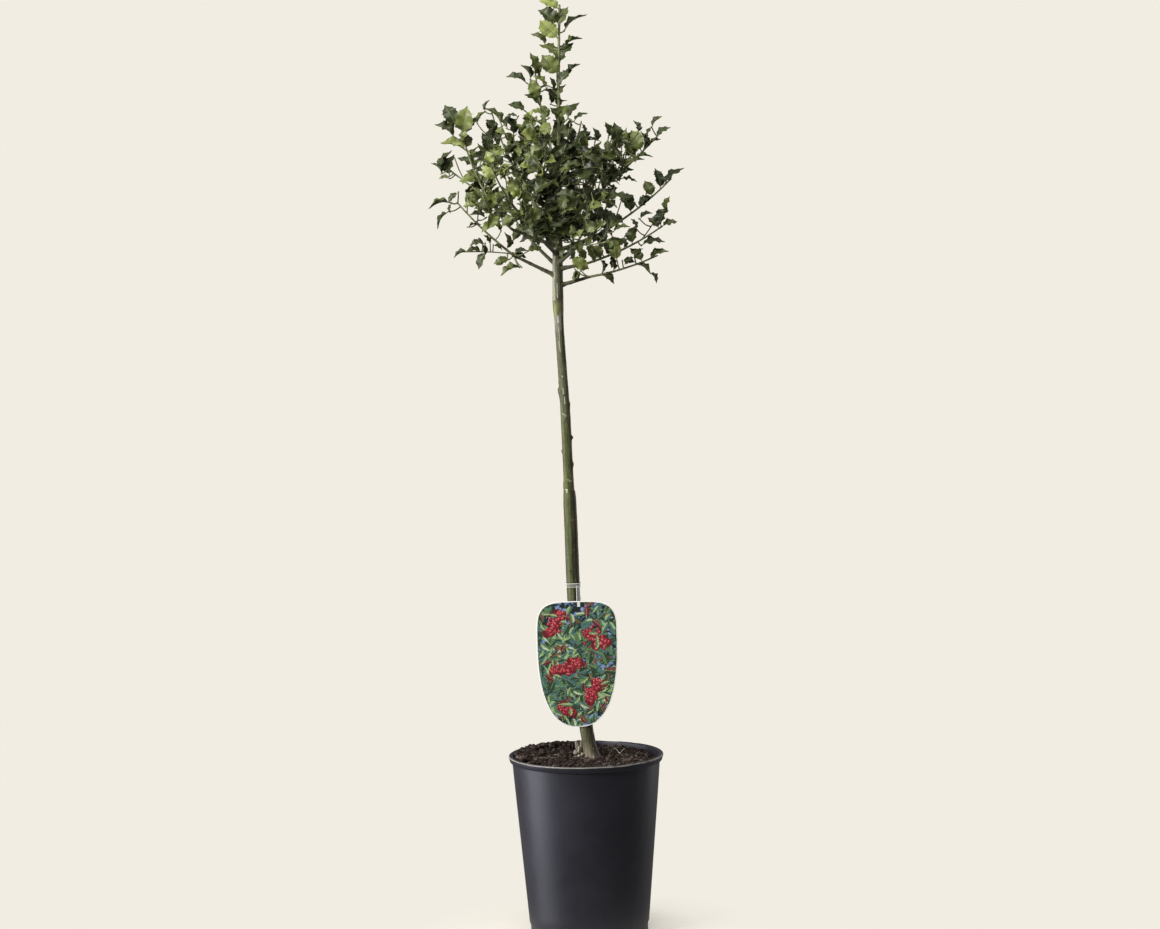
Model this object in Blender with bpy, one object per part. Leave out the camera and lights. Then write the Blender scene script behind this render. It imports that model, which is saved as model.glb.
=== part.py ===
"""Holly tree grown as a standard in a tall plastic nursery pot, with a hanging plant label.

Metres, +Z up. The origin is the centre of the pot's flat underside. +X is to the right of the view
that shows the label's face, and -Y points at that view.
"""

import math
import random

import bmesh
import bpy
import numpy as np
from mathutils import Vector
from mathutils.bvhtree import BVHTree

# Clearances between pieces that touch in the real plant.
GAP = 0.0003

# Nursery pot: a thin tapering wall on a stepped foot, with a skirted lip.
POT_HEIGHT = 0.250
POT_LIP_RADIUS = 0.108
POT_WALL_TOP_RADIUS = 0.1037
POT_WALL_FOOT_RADIUS = 0.0832
POT_FOOT_RADIUS = 0.0815
POT_FOOT_HEIGHT = 0.0150
POT_FOOT_STEP = 0.0010
POT_LIP_DROP = 0.0105
POT_LIP_ROUND = 0.0012
POT_WALL = 0.0018
POT_FLOOR = 0.0030
POT_SIDES = 36
DRAIN_HOLES = 6
DRAIN_HOLE_RADIUS = 0.0065
DRAIN_CIRCLE_RADIUS = 0.058
DRAIN_HOLE_SIDES = 8

# Soil: heaped to the rim on the left and lower on the right.
SOIL_FOOT_DROP = 0.0052
SOIL_EDGE_DROP = 0.0066
SOIL_EDGE_SWING = 0.0048
SOIL_HIGH_AZIMUTH = math.radians(165)
SOIL_LUMP = 0.0016
SOIL_RINGS = (1.0, 0.84, 0.62, 0.40, 0.155)
SOIL_SEED = 11

# Trunk: centre line as (height, x, y) and girth as (height, radius).
TRUNK_FOOT = POT_HEIGHT - SOIL_FOOT_DROP + GAP
TRUNK_LINE = (
    (TRUNK_FOOT, 0.0085, 0.000),
    (0.285, 0.0010, 0.000),
    (0.465, -0.0125, 0.001),
    (0.620, -0.0155, 0.001),
    (0.720, -0.0185, 0.000),
    (0.900, -0.0255, -0.001),
    (1.000, -0.0235, 0.000),
    (1.088, -0.0205, 0.001),
)
TRUNK_GIRTH = (
    (TRUNK_FOOT, 0.0126),
    (0.2530, 0.0106),
    (0.2680, 0.0093),
    (0.4500, 0.0092),
    (0.5600, 0.0089),
    (0.6080, 0.0084),
    (0.6200, 0.0072),
    (0.7200, 0.0066),
    (0.8500, 0.0064),
    (0.8700, 0.0072),
    (0.9600, 0.0069),
    (1.0000, 0.0052),
    (1.0880, 0.0026),
)
TRUNK_SIDES = 10
TRUNK_RINGS = 22

# Boughs, each one tapering limb from the trunk: name, height on the trunk, azimuth, rise above the
# level at the foot and at the tip, and length from the trunk's centre.
BOUGHS = (
    ("low_right", 0.899, 352, 13, 15, 0.046),
    ("right", 0.922, 344, 7, 11, 0.044),
    ("mid_right", 0.947, 10, 18, 24, 0.064),
    ("upper_right", 0.972, 15, 42, 46, 0.053),
    ("high_right", 1.003, 51, 42, 48, 0.040),
    ("top_right", 1.030, 29, 60, 66, 0.037),
    ("low_left", 0.912, 188, 25, 28, 0.067),
    ("upper_left", 0.953, 213, 15, 21, 0.078),
    ("mid_left", 0.966, 161, 25, 29, 0.063),
    ("high_left", 0.988, 133, 25, 31, 0.044),
    ("spike_left", 1.052, 223, 65, 75, 0.034),
    ("front_low", 0.930, 296, 13, 21, 0.058),
    ("front_left", 0.942, 243, 20, 28, 0.064),
    ("front_far_left", 0.962, 223, 22, 30, 0.071),
    ("front_right", 0.960, 297, 25, 33, 0.060),
    ("front_mid", 0.980, 268, 27, 35, 0.051),
    ("front_high", 1.022, 284, 45, 53, 0.048),
    ("front_high_left", 1.035, 233, 50, 58, 0.047),
    ("back_low", 0.917, 92, 26, 32, 0.062),
    ("back_low_left", 0.926, 125, 28, 34, 0.069),
    ("back_low_right", 0.936, 53, 18, 24, 0.065),
    ("back", 0.957, 89, 23, 29, 0.065),
    ("back_left", 0.979, 126, 28, 34, 0.061),
    ("back_right", 0.985, 61, 29, 35, 0.058),
    ("back_high", 1.014, 93, 40, 46, 0.048),
)
BOUGH_FOOT_RADIUS = 0.0028
BOUGH_TIP_RADIUS = 0.0019
BOUGH_SIDES = 5
BOUGH_STEP = 0.014

# Foliage masses, one on each bough's tip and the leader on the trunk's: azimuth of the stem, its rise
# at the foot and at the tip, its length, the share of it that is bare, and its strong side shoots,
# each as (share along the stem, azimuth, rise at its foot, rise at its tip, length).
MASSES = {
    "low_right": (355, 9, 23, 0.096, 0.25, ()),
    "right": (358, 16, 34, 0.113, 0.1, ((0.72, 14, 48, 68, 0.045), (0.3, 46, 33, 53, 0.043))),
    "mid_right": (357, 28, 44, 0.121, 0, ((0.15, 297, 38, 58, 0.047), (0.6, 8, 70, 85, 0.029))),
    "upper_right": (3, 39, 45, 0.139, 0, ((0.35, 313, 44, 66, 0.066), (0.15, 32, 63, 85, 0.085))),
    "high_right": (17, 42, 56, 0.103, 0, ((0.35, 63, 55, 65, 0.056),)),
    "top_right": (341, 65, 77, 0.062, 0, ((0.2, 312, 30, 42, 0.040),)),
    "low_left": (184, 38, 50, 0.104, 0.1, ((0.03, 190, 7, -1, 0.065), (0.82, 86, 56, 66, 0.026))),
    "upper_left": (197, 48, 82, 0.162, 0, ((0.12, 215, 13, 33, 0.049), (0.42, 63, 63, 83, 0.075))),
    "mid_left": (178, 32, 40, 0.124, 0.1, ((0.72, 214, 58, 70, 0.035), (0.4, 146, 57, 77, 0.060))),
    "high_left": (174, 55, 75, 0.148, 0, ((0.4, 98, 70, 84, 0.069),)),
    "spike_left": (185, 75, 85, 0.120, 0, ((0.3, 179, 29, 43, 0.034),)),
    "front_low": (287, 26, 50, 0.086, 0, ((0.12, 312, -5, 9, 0.064), (0.05, 252, 40, 54, 0.050))),
    "front_left": (256, 23, 47, 0.094, 0, ((0.3, 238, 6, 18, 0.048), (0.05, 300, 20, 34, 0.036))),
    "front_far_left": (241, 26, 50, 0.097, 0, ()),
    "front_right": (299, 27, 51, 0.097, 0, ((0.25, 316, 4, 16, 0.041),)),
    "front_mid": (262, 56, 80, 0.098, 0, ((0.3, 240, 30, 44, 0.052),)),
    "front_high": (296, 58, 72, 0.055, 0, ()),
    "front_high_left": (232, 53, 67, 0.055, 0, ()),
    "back_low": (96, 22, 42, 0.091, 0.1, ()),
    "back_low_left": (121, 28, 52, 0.099, 0.05, ((0.3, 90, 29, 41, 0.055),)),
    "back_low_right": (62, 25, 49, 0.093, 0.05, ((0.3, 96, 29, 41, 0.057),)),
    "back": (91, 37, 61, 0.098, 0, ()),
    "back_left": (125, 43, 67, 0.107, 0, ((0.3, 94, 46, 60, 0.046),)),
    "back_right": (43, 34, 58, 0.102, 0, ((0.3, 92, 52, 66, 0.049),)),
    "back_high": (57, 65, 85, 0.084, 0, ()),
    "leader": (0, 89, 91, 0.192, 0, ()),
}
STEM_FOOT_RADIUS = 0.0018
STEM_TIP_RADIUS = 0.0010
STEM_STEP = 0.020

# Side twigs and leaves, by the rule that every mass follows.
TWIG_FOOT_SHARE = 0.48
TWIG_TIP_RADIUS = 0.0008
TWIG_SIDES = 3
TWIG_STEPS = 2
TWIG_PITCH = 0.024
TWIG_FIRST = 0.010
TWIG_CLEAR_OF_TIP = 0.020
TWIG_LENGTH = 0.040
TWIG_LENGTH_AT_FOOT = 1.15
TWIG_LENGTH_LOST = 0.5
TWIG_SPREAD = 48
TWIG_SPREAD_SWAY = 10
TWIG_LIFT = 0.55
DIVERGENCE = 137.5
DIVERGENCE_SWAY = 14
LEAF_PITCH = 0.0150
LEAF_FIRST = 0.010
LEAF_LENGTH = 0.0310
LEAF_WIDTH = 0.0185
LEAF_THICKNESS = 0.0008
LEAF_WIDEST = 0.46
LEAF_ROOT_SINK = 0.0008
LEAF_ARCH = 0.0022
LEAF_DROOP = 0.0034
LEAF_TRIES = 4
LEAF_TRY_TURN = 52
LEAF_OPEN = 56
LEAF_OPEN_AT_TIP = 30
LEAF_OPEN_SWAY = 12
LEAF_SIZES = (0.80, 1.12)
LEAF_TIP_SHRINK = 0.18
LEAF_CROWD_FROM = 0.82
LEAF_CROWD = 0.5
LEAF_AHEAD = 0.45
LEAF_LIGHT = Vector((0, -0.3, 0.55))
LEAF_SWAY = 0.6
RULE_SEED = 400

# How far a leaf or twig keeps from its mass's border and from every limb.
SPACE_MARGIN = 0.0010
LIMB_MARGIN = 0.0012

# Hanging label: a thin plate with a strap that loops round the trunk.
LABEL_CENTRE_X = -0.0092
LABEL_PLANE_Y = -0.0097
LABEL_TOP = 0.4640
LABEL_HEIGHT = 0.1750
LABEL_WIDTH = 0.1120
LABEL_THICKNESS = 0.0008
LABEL_CORNER_POWER = 4.0
LABEL_FOOT_POWER = 2.5
LABEL_SHOULDER = 0.30
LABEL_STEPS = 8
STRAP_X = -0.0060
STRAP_WIDTH = 0.0048
STRAP_TOP = 0.4880
STRAP_LOOP_HALF = 0.0108
STRAP_LOOP_POWER = 4.0
STRAP_LOOP_SIDES = 24

COLOURS = {
    "pot_plastic": ((0.016, 0.017, 0.021), 0.38),
    "soil": ((0.030, 0.020, 0.014), 0.95),
    "bark": ((0.120, 0.135, 0.070), 0.60),
    "holly_leaf": ((0.050, 0.085, 0.025), 0.35),
    "label": ((0.800, 0.800, 0.780), 0.30),
}


def clear_scene():
    """Removes the startup scene's objects."""
    for obj in list(bpy.data.objects):
        bpy.data.objects.remove(obj)


def material(name):
    """The Principled material of that name, made on first use."""
    found = bpy.data.materials.get(name)
    if found:
        return found
    colour, roughness = COLOURS[name]
    made = bpy.data.materials.new(name)
    made.use_nodes = True
    shader = made.node_tree.nodes["Principled BSDF"]
    shader.inputs["Base Color"].default_value = (*colour, 1.0)
    shader.inputs["Roughness"].default_value = roughness
    shader.inputs["Metallic"].default_value = 0.0
    return made


def mesh_object(name, vertices, faces, material_name, collection=None):
    """A mesh object of those vertices and faces, in that collection."""
    mesh = bpy.data.meshes.new(name)
    mesh.from_pydata([tuple(v) for v in vertices], [], faces)
    mesh.validate()
    mesh.materials.append(material(material_name))
    obj = bpy.data.objects.new(name, mesh)
    (collection or bpy.context.scene.collection).objects.link(obj)
    return obj


def shade_round(obj, sharp_degrees=40):
    """Smooth shading with sharp edges kept."""
    obj.data.shade_smooth()
    obj.data.set_sharp_from_angle(angle=math.radians(sharp_degrees))


def boolean(obj, operation, other=None, collection=None):
    """Applies one Boolean to obj, with one object or with a whole collection."""
    modifier = obj.modifiers.new(operation.lower(), "BOOLEAN")
    modifier.operation = operation
    modifier.solver = "EXACT"
    if collection:
        modifier.operand_type = "COLLECTION"
        modifier.collection = collection
    else:
        modifier.object = other
    with bpy.context.temp_override(object=obj, active_object=obj):
        bpy.ops.object.modifier_apply(modifier=modifier.name)


def keep_largest_body(obj):
    """Drops every loose scrap that a Boolean left beside the main body."""
    work = bmesh.new()
    work.from_mesh(obj.data)
    left = set(work.verts)
    bodies = []
    while left:
        body, border = set(), [left.pop()]
        while border:
            vertex = border.pop()
            body.add(vertex)
            for edge in vertex.link_edges:
                other = edge.other_vert(vertex)
                if other in left:
                    left.discard(other)
                    border.append(other)
        bodies.append(body)
    bodies.sort(key=len)
    for body in bodies[:-1]:
        bmesh.ops.delete(work, geom=list(body), context="VERTS")
    work.to_mesh(obj.data)
    work.free()


def smooth_between(rows, at):
    """The values that rows give at that first column, eased by a monotone cubic through the rows."""
    last = len(rows) - 1
    index = max(0, min(last - 1, sum(row[0] <= at for row in rows) - 1))
    (x0, *low), (x1, *high) = rows[index], rows[index + 1]
    part = max(0.0, min(1.0, (at - x0) / (x1 - x0)))
    values = []
    for column, (a, b) in enumerate(zip(low, high), start=1):
        slope = (b - a) / (x1 - x0)
        ends = []
        for here, beside in ((index, index - 1), (index + 1, index + 1)):
            if beside < 0 or beside >= last:
                ends.append(slope)
                continue
            width = rows[beside + 1][0] - rows[beside][0]
            near = (rows[beside + 1][column] - rows[beside][column]) / width
            same_sign = near * slope > 0
            ends.append(2 * near * slope / (near + slope) if same_sign else 0.0)
        run = x1 - x0
        square, cube = part * part, part * part * part
        values.append(
            a * (2 * cube - 3 * square + 1)
            + ends[0] * run * (cube - 2 * square + part)
            + b * (3 * square - 2 * cube)
            + ends[1] * run * (cube - square)
        )
    return values


def trunk_centre(height):
    """The trunk's centre at that height."""
    return Vector((*smooth_between(TRUNK_LINE, height), height))


def trunk_radius(height):
    """The trunk's radius at that height."""
    return smooth_between(TRUNK_GIRTH, height)[0]


def heading(azimuth, rise):
    """The unit vector at that azimuth and rise above the level, both in degrees."""
    level = math.cos(math.radians(rise))
    turn = math.radians(azimuth)
    return Vector((math.cos(turn) * level, math.sin(turn) * level, math.sin(math.radians(rise))))


def limb_points(start, azimuth, rises, length, steps):
    """Points along a limb whose rise turns evenly from its foot to its tip."""
    points = [start.copy()]
    for i in range(steps):
        rise = rises[0] + (rises[1] - rises[0]) * (i + 0.5) / steps
        points.append(points[-1] + heading(azimuth, rise) * (length / steps))
    return points


def point_along(points, share):
    """The point and the unit tangent at that share of a polyline of equal steps."""
    place = max(0.0, min(1.0, share)) * (len(points) - 1)
    index = min(int(place), len(points) - 2)
    step = points[index + 1] - points[index]
    return points[index] + step * (place - index), step.normalized()


def side_of(tangent, turn):
    """The unit vector square to the tangent, turned about it by that many degrees."""
    reference = Vector((0, 0, 1)) if abs(tangent.z) < 0.9 else Vector((1, 0, 0))
    across = tangent.cross(reference).normalized()
    up = across.cross(tangent)
    angle = math.radians(turn)
    return across * math.cos(angle) + up * math.sin(angle)


def tube_parts(points, radii, sides, foot_facing=None):
    """Vertices and faces of a closed tube through the points. Its ends are capped square, or the
    foot square to foot_facing."""
    vertices, faces = [], []
    tangents = [(b - a).normalized() for a, b in zip(points, points[1:])]
    normal = side_of(tangents[0], 0)
    for i, (point, radius) in enumerate(zip(points, radii)):
        before, after = tangents[max(0, i - 1)], tangents[min(i, len(tangents) - 1)]
        tangent = foot_facing if foot_facing and i == 0 else (before + after).normalized()
        normal = (normal - tangent * normal.dot(tangent)).normalized()
        across = tangent.cross(normal)
        for k in range(sides):
            angle = 2 * math.pi * k / sides
            vertices.append(point + (normal * math.cos(angle) + across * math.sin(angle)) * radius)
    for i in range(len(points) - 1):
        for k in range(sides):
            a, b = i * sides + k, i * sides + (k + 1) % sides
            faces.append((a, b, b + sides, a + sides))
    faces.append(tuple(reversed(range(sides))))
    faces.append(tuple(range((len(points) - 1) * sides, len(points) * sides)))
    return vertices, faces


def tapered(foot, tip, count):
    """Radii that fall evenly from foot to tip."""
    return [foot + (tip - foot) * i / (count - 1) for i in range(count)]


def turned(profile, sides):
    """Vertices and faces of a closed profile of (radius, height) turned about Z. Points on the
    axis are single."""
    vertices, rings, faces = [], [], []
    for radius, height in profile:
        start = len(vertices)
        if radius == 0:
            vertices.append((0, 0, height))
            rings.append([start] * sides)
            continue
        for k in range(sides):
            angle = 2 * math.pi * k / sides
            vertices.append((radius * math.cos(angle), radius * math.sin(angle), height))
        rings.append(list(range(start, start + sides)))
    for low, high in zip(rings, rings[1:]):
        for k in range(sides):
            corners = [low[k], low[(k + 1) % sides], high[(k + 1) % sides], high[k]]
            distinct = tuple(dict.fromkeys(corners))
            if len(distinct) > 2:
                faces.append(distinct)
    return vertices, faces


def pot_wall_radius(height):
    """The outer radius of the pot's tapering wall at that height."""
    part = (height - POT_FOOT_HEIGHT) / (POT_HEIGHT - POT_FOOT_HEIGHT)
    return POT_WALL_FOOT_RADIUS + (POT_WALL_TOP_RADIUS - POT_WALL_FOOT_RADIUS) * part


def make_pot():
    """The pot: floor, stepped foot, tapering wall and skirted lip, with drain holes in the floor."""
    lip_foot = POT_HEIGHT - POT_LIP_DROP
    skirt_inner = POT_LIP_RADIUS - POT_WALL
    profile = [
        (0, 0),
        (POT_FOOT_RADIUS, 0),
        (POT_FOOT_RADIUS, POT_FOOT_HEIGHT - POT_FOOT_STEP),
        (POT_WALL_FOOT_RADIUS, POT_FOOT_HEIGHT),
        (pot_wall_radius(POT_HEIGHT - POT_WALL), POT_HEIGHT - POT_WALL),
        (skirt_inner, POT_HEIGHT - POT_WALL),
        (skirt_inner, lip_foot),
        (POT_LIP_RADIUS, lip_foot),
        (POT_LIP_RADIUS, POT_HEIGHT - POT_LIP_ROUND),
        (POT_LIP_RADIUS - POT_LIP_ROUND, POT_HEIGHT),
        (pot_wall_radius(POT_HEIGHT) - POT_WALL, POT_HEIGHT),
        (POT_WALL_FOOT_RADIUS - POT_WALL, POT_FOOT_HEIGHT + POT_FLOOR),
        (POT_FOOT_RADIUS - POT_WALL, POT_FOOT_HEIGHT - POT_FOOT_STEP),
        (POT_FOOT_RADIUS - POT_WALL, POT_FLOOR),
        (0, POT_FLOOR),
    ]
    pot = mesh_object("nursery_pot", *turned(profile, POT_SIDES), "pot_plastic")
    holes = bpy.data.collections.new("drain_holes")
    reach = 2 * POT_FLOOR
    for i in range(DRAIN_HOLES):
        angle = 2 * math.pi * (i + 0.5) / DRAIN_HOLES
        centre = Vector((math.cos(angle), math.sin(angle), 0)) * DRAIN_CIRCLE_RADIUS
        ends = [centre - Vector((0, 0, reach)), centre + Vector((0, 0, reach))]
        radii = [DRAIN_HOLE_RADIUS] * 2
        parts = tube_parts(ends, radii, DRAIN_HOLE_SIDES)
        mesh_object(f"drain_hole_{i}", *parts, "pot_plastic", holes)
    boolean(pot, "DIFFERENCE", collection=holes)
    remove_collection(holes)
    shade_round(pot)
    return pot


def remove_collection(collection):
    """Removes a helper collection with its objects."""
    for obj in list(collection.objects):
        bpy.data.objects.remove(obj)
    bpy.data.collections.remove(collection)


def soil_edge_height(azimuth):
    """The height of the soil where it meets the pot's wall."""
    swing = SOIL_EDGE_SWING * math.cos(azimuth - SOIL_HIGH_AZIMUTH)
    return POT_HEIGHT - SOIL_EDGE_DROP + swing


def make_soil():
    """The soil that fills the pot: its flat disc under the trunk, and a lumpy top that falls from the
    rim on one side."""
    lumps = random.Random(SOIL_SEED)
    centre = trunk_centre(TRUNK_FOOT)
    foot_height = TRUNK_FOOT - GAP
    vertices, faces = [(0, 0, POT_FLOOR + GAP)], []
    inside = -POT_WALL - GAP
    side_heights = (POT_FLOOR + GAP, POT_FOOT_HEIGHT - POT_FOOT_STEP)
    rings = [[(POT_FOOT_RADIUS + inside, height)] * POT_SIDES for height in side_heights]
    rings.append([(POT_WALL_FOOT_RADIUS + inside, POT_FOOT_HEIGHT + POT_FLOOR)] * POT_SIDES)
    for ring in rings:
        for k, (radius, height) in enumerate(ring):
            angle = 2 * math.pi * k / POT_SIDES
            vertices.append((radius * math.cos(angle), radius * math.sin(angle), height))
    for share in SOIL_RINGS:
        for k in range(POT_SIDES):
            angle = 2 * math.pi * k / POT_SIDES
            edge = soil_edge_height(angle)
            wall = pot_wall_radius(edge) + inside
            at_foot = share == SOIL_RINGS[-1]
            blend = 0.0 if at_foot else share * share
            lump = 0.0 if at_foot else lumps.uniform(-1, 1) * SOIL_LUMP
            height = foot_height + (edge - foot_height) * blend + lump
            outward = Vector((math.cos(angle), math.sin(angle)))
            middle = Vector((centre.x, centre.y)) * (1 - share)
            place = middle + outward * wall * share
            vertices.append((place.x, place.y, height))
    vertices.append((centre.x, centre.y, foot_height))
    last = len(vertices) - 1
    levels = len(rings) + len(SOIL_RINGS)
    for k in range(POT_SIDES):
        after = (k + 1) % POT_SIDES
        faces.append((0, 1 + after, 1 + k))
        for level in range(levels - 1):
            low, high = 1 + level * POT_SIDES, 1 + (level + 1) * POT_SIDES
            faces.append((low + k, low + after, high + after, high + k))
        top = 1 + (levels - 1) * POT_SIDES
        faces.append((top + k, top + after, last))
    return mesh_object("potting_soil", vertices, faces, "soil")


def trunk_rings(extra=0.0):
    """Points and radii of the trunk from its flat foot to its tip, the radii grown by extra."""
    lowest, highest = TRUNK_LINE[0][0], TRUNK_LINE[-1][0]
    regular = [lowest + (highest - lowest) * i / TRUNK_RINGS for i in range(TRUNK_RINGS + 1)]
    knots = [height for height, _ in TRUNK_GIRTH[1:-1]]
    least = (highest - lowest) / TRUNK_RINGS / 2
    heights = [h for h in regular if all(abs(h - k) > least for k in knots)] + knots
    heights.sort()
    points = [trunk_centre(height) for height in heights]
    return points, [trunk_radius(height) + extra for height in heights]


def make_trunk():
    """The trunk, with its taper, its lean, the thicker length below the pruned joint, and its flare.
    Its foot is cut level."""
    points, radii = trunk_rings()
    vertices, faces = tube_parts(points, radii, TRUNK_SIDES)
    for vertex in vertices[:TRUNK_SIDES]:
        vertex.z = TRUNK_FOOT
    trunk = mesh_object("trunk", vertices, faces, "bark")
    shade_round(trunk, 60)
    return trunk


def trunk_cutter():
    """A helper that clears each bough's foot from the trunk by the gap."""
    points, radii = trunk_rings(GAP)
    cutter = mesh_object("trunk_clearance", *tube_parts(points, radii, TRUNK_SIDES), "bark")
    cutter.hide_render = True
    cutter.display_type = "WIRE"
    return cutter


def bough_points(row):
    """Points along a bough from the trunk's centre to its tip."""
    _, height, azimuth, rise_foot, rise_tip, length = row
    steps = max(2, round(length / BOUGH_STEP))
    return limb_points(trunk_centre(height), azimuth, (rise_foot, rise_tip), length, steps)


def make_bough(row, cutter):
    """One bough, its foot shaped to the trunk."""
    points = bough_points(row)
    radii = tapered(BOUGH_FOOT_RADIUS, BOUGH_TIP_RADIUS, len(points))
    bough = mesh_object(f"bough_{row[0]}", *tube_parts(points, radii, BOUGH_SIDES), "bark")
    boolean(bough, "DIFFERENCE", other=cutter)
    keep_largest_body(bough)
    shade_round(bough, 60)
    return bough


def stem_shoots(start, spec):
    """The stem of a mass and its strong side shoots, each as its points, its radii at both ends and
    the share of it that is bare."""
    azimuth, rise_foot, rise_tip, length, bare, forks = spec
    steps = max(3, round(length / STEM_STEP))
    stem = limb_points(start, azimuth, (rise_foot, rise_tip), length, steps)
    shoots = [(stem, STEM_FOOT_RADIUS, STEM_TIP_RADIUS, bare)]
    for share, turn, fork_foot, fork_tip, fork_length in forks:
        root, _ = point_along(stem, share)
        count = max(2, round(fork_length / STEM_STEP))
        fork = limb_points(root, turn, (fork_foot, fork_tip), fork_length, count)
        foot_radius = TWIG_FOOT_SHARE * STEM_FOOT_RADIUS
        shoots.append((fork, foot_radius, TWIG_TIP_RADIUS, 0))
    return shoots


def mass_plan():
    """Every mass in the order they are grown: its name, its stem with the side shoots, and the
    direction of the limb that carries it."""
    plan = []
    for row in BOUGHS:
        points = bough_points(row)
        facing = (points[-1] - points[-2]).normalized()
        plan.append((row[0], stem_shoots(points[-1] + facing * GAP, MASSES[row[0]]), facing))
    points, _ = trunk_rings()
    facing = (points[-1] - points[-2]).normalized()
    plan.append(("leader", stem_shoots(points[-1] + facing * GAP, MASSES["leader"]), facing))
    return plan


def dense_points(points, step=0.002):
    """Points at most that step apart along a polyline, as an array."""
    dense = []
    for a, b in zip(points, points[1:]):
        count = max(1, math.ceil((b - a).length / step))
        dense += [a.lerp(b, i / count) for i in range(count)]
    return np.array([tuple(p) for p in dense + [points[-1]]])


class Space:
    """What each mass may fill: the points nearer to its own shoots than to any other's, clear of the
    trunk and of the boughs."""

    def __init__(self, plan):
        self.shoots = [np.concatenate([dense_points(s[0]) for s in row[1]]) for row in plan]
        points, radii = trunk_rings()
        centres, reach = [dense_points(points)], []
        lengths = [point.z for point in points]
        reach.append(np.interp(centres[0][:, 2], lengths, radii))
        for row in BOUGHS:
            limb = dense_points(bough_points(row))
            centres.append(limb)
            reach.append(np.linspace(BOUGH_FOOT_RADIUS, BOUGH_TIP_RADIUS, len(limb)))
        self.limbs, self.limb_reach = np.concatenate(centres), np.concatenate(reach)

    @staticmethod
    def nearest(samples, points):
        """The distance from each sample to the nearest of the points."""
        return np.linalg.norm(samples[:, None, :] - points[None, :, :], axis=2)

    def holds(self, mass, samples):
        """Whether every sample lies in that mass's space."""
        own = self.nearest(samples, self.shoots[mass]).min(axis=1)
        for other, points in enumerate(self.shoots):
            if other == mass:
                continue
            away = self.nearest(samples, points).min(axis=1)
            if (away - own < 2 * SPACE_MARGIN).any():
                return False
        clear = self.nearest(samples, self.limbs) - self.limb_reach[None, :]
        return bool((clear > LIMB_MARGIN).all())


def grow_twigs(rng, shoots):
    """Side twigs that leave the shoots at a steady divergence and turn up towards the light. Each
    starts slim enough to lie inside its shoot."""
    twigs = []
    for points, foot_radius, tip_radius, bare in shoots:
        length = sum((b - a).length for a, b in zip(points, points[1:]))
        turn = rng.uniform(0, 360)
        place = TWIG_FIRST + length * bare + rng.uniform(0, TWIG_PITCH / 2)
        while place < length - TWIG_CLEAR_OF_TIP:
            root, tangent = point_along(points, place / length)
            out = side_of(tangent, turn)
            spread = math.radians(TWIG_SPREAD + rng.uniform(-TWIG_SPREAD_SWAY, TWIG_SPREAD_SWAY))
            aim = tangent * math.cos(spread) + out * math.sin(spread)
            reach = TWIG_LENGTH * (TWIG_LENGTH_AT_FOOT - TWIG_LENGTH_LOST * place / length)
            reach *= rng.uniform(0.65, 1.2)
            ends = [root]
            for _ in range(TWIG_STEPS):
                ends.append(ends[-1] + aim * (reach / TWIG_STEPS))
                aim = (aim + Vector((0, 0, TWIG_LIFT / TWIG_STEPS))).normalized()
            here = foot_radius + (tip_radius - foot_radius) * place / length
            twigs.append((ends, here * TWIG_FOOT_SHARE, TWIG_TIP_RADIUS, 0))
            turn += DIVERGENCE + rng.uniform(-DIVERGENCE_SWAY, DIVERGENCE_SWAY)
            place += TWIG_PITCH * rng.uniform(0.8, 1.25)
    return twigs


def leaf_frame(rng, root, tangent, turn, opening):
    """A leaf's direction, its upper normal and its width axis, the upper face turned to the shoot's
    tip and the sky."""
    direction = tangent * math.cos(opening) + side_of(tangent, turn) * math.sin(opening)
    sway = Vector((rng.uniform(-1, 1), rng.uniform(-1, 1), rng.uniform(-1, 1)))
    facing = tangent * LEAF_AHEAD + LEAF_LIGHT + sway * LEAF_SWAY
    normal = (facing - direction * facing.dot(direction)).normalized()
    return root, direction, normal, direction.cross(normal)


def grow_leaves(rng, shoot):
    """Places for leaves along one shoot at a steady divergence, closer and more upright at its tip.
    Each place gives a few tries, every one turned on a little round the shoot."""
    points, bare = shoot[0], shoot[3]
    length = sum((b - a).length for a, b in zip(points, points[1:]))
    turn = rng.uniform(0, 360)
    place = length * bare + LEAF_FIRST * rng.uniform(0.6, 1.2)
    places = []
    while place < length + LEAF_PITCH:
        share = min(1.0, place / length)
        inside = min(1.0, (length - 0.0005) / length)
        root, tangent = point_along(points, min(share, inside))
        size = rng.uniform(*LEAF_SIZES) * (1.0 - LEAF_TIP_SHRINK * share ** 4)
        tries = []
        for attempt in range(LEAF_TRIES):
            opening = LEAF_OPEN + (LEAF_OPEN_AT_TIP - LEAF_OPEN) * share ** 3
            opening = math.radians(opening + rng.uniform(-LEAF_OPEN_SWAY, LEAF_OPEN_SWAY))
            frame = leaf_frame(rng, root, tangent, turn + attempt * LEAF_TRY_TURN, opening)
            tries.append((frame, size))
        places.append(tries)
        turn += DIVERGENCE + rng.uniform(-DIVERGENCE_SWAY, DIVERGENCE_SWAY)
        crowd = 1.0 if share < LEAF_CROWD_FROM else LEAF_CROWD
        place += LEAF_PITCH * crowd * rng.uniform(0.8, 1.2)
    return places


def leaf_corners(frame, size):
    """Root, left, tip and right corners of an arched leaf, then the top of its midrib."""
    root, direction, normal, across = frame
    length, half = LEAF_LENGTH * size, LEAF_WIDTH * size / 2
    middle = root + direction * (length * LEAF_WIDEST) + normal * (LEAF_ARCH * size)
    return [
        root - direction * LEAF_ROOT_SINK,
        middle + across * half,
        root + direction * length - normal * (LEAF_DROOP * size),
        middle - across * half,
        middle + normal * LEAF_THICKNESS,
    ]


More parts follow.
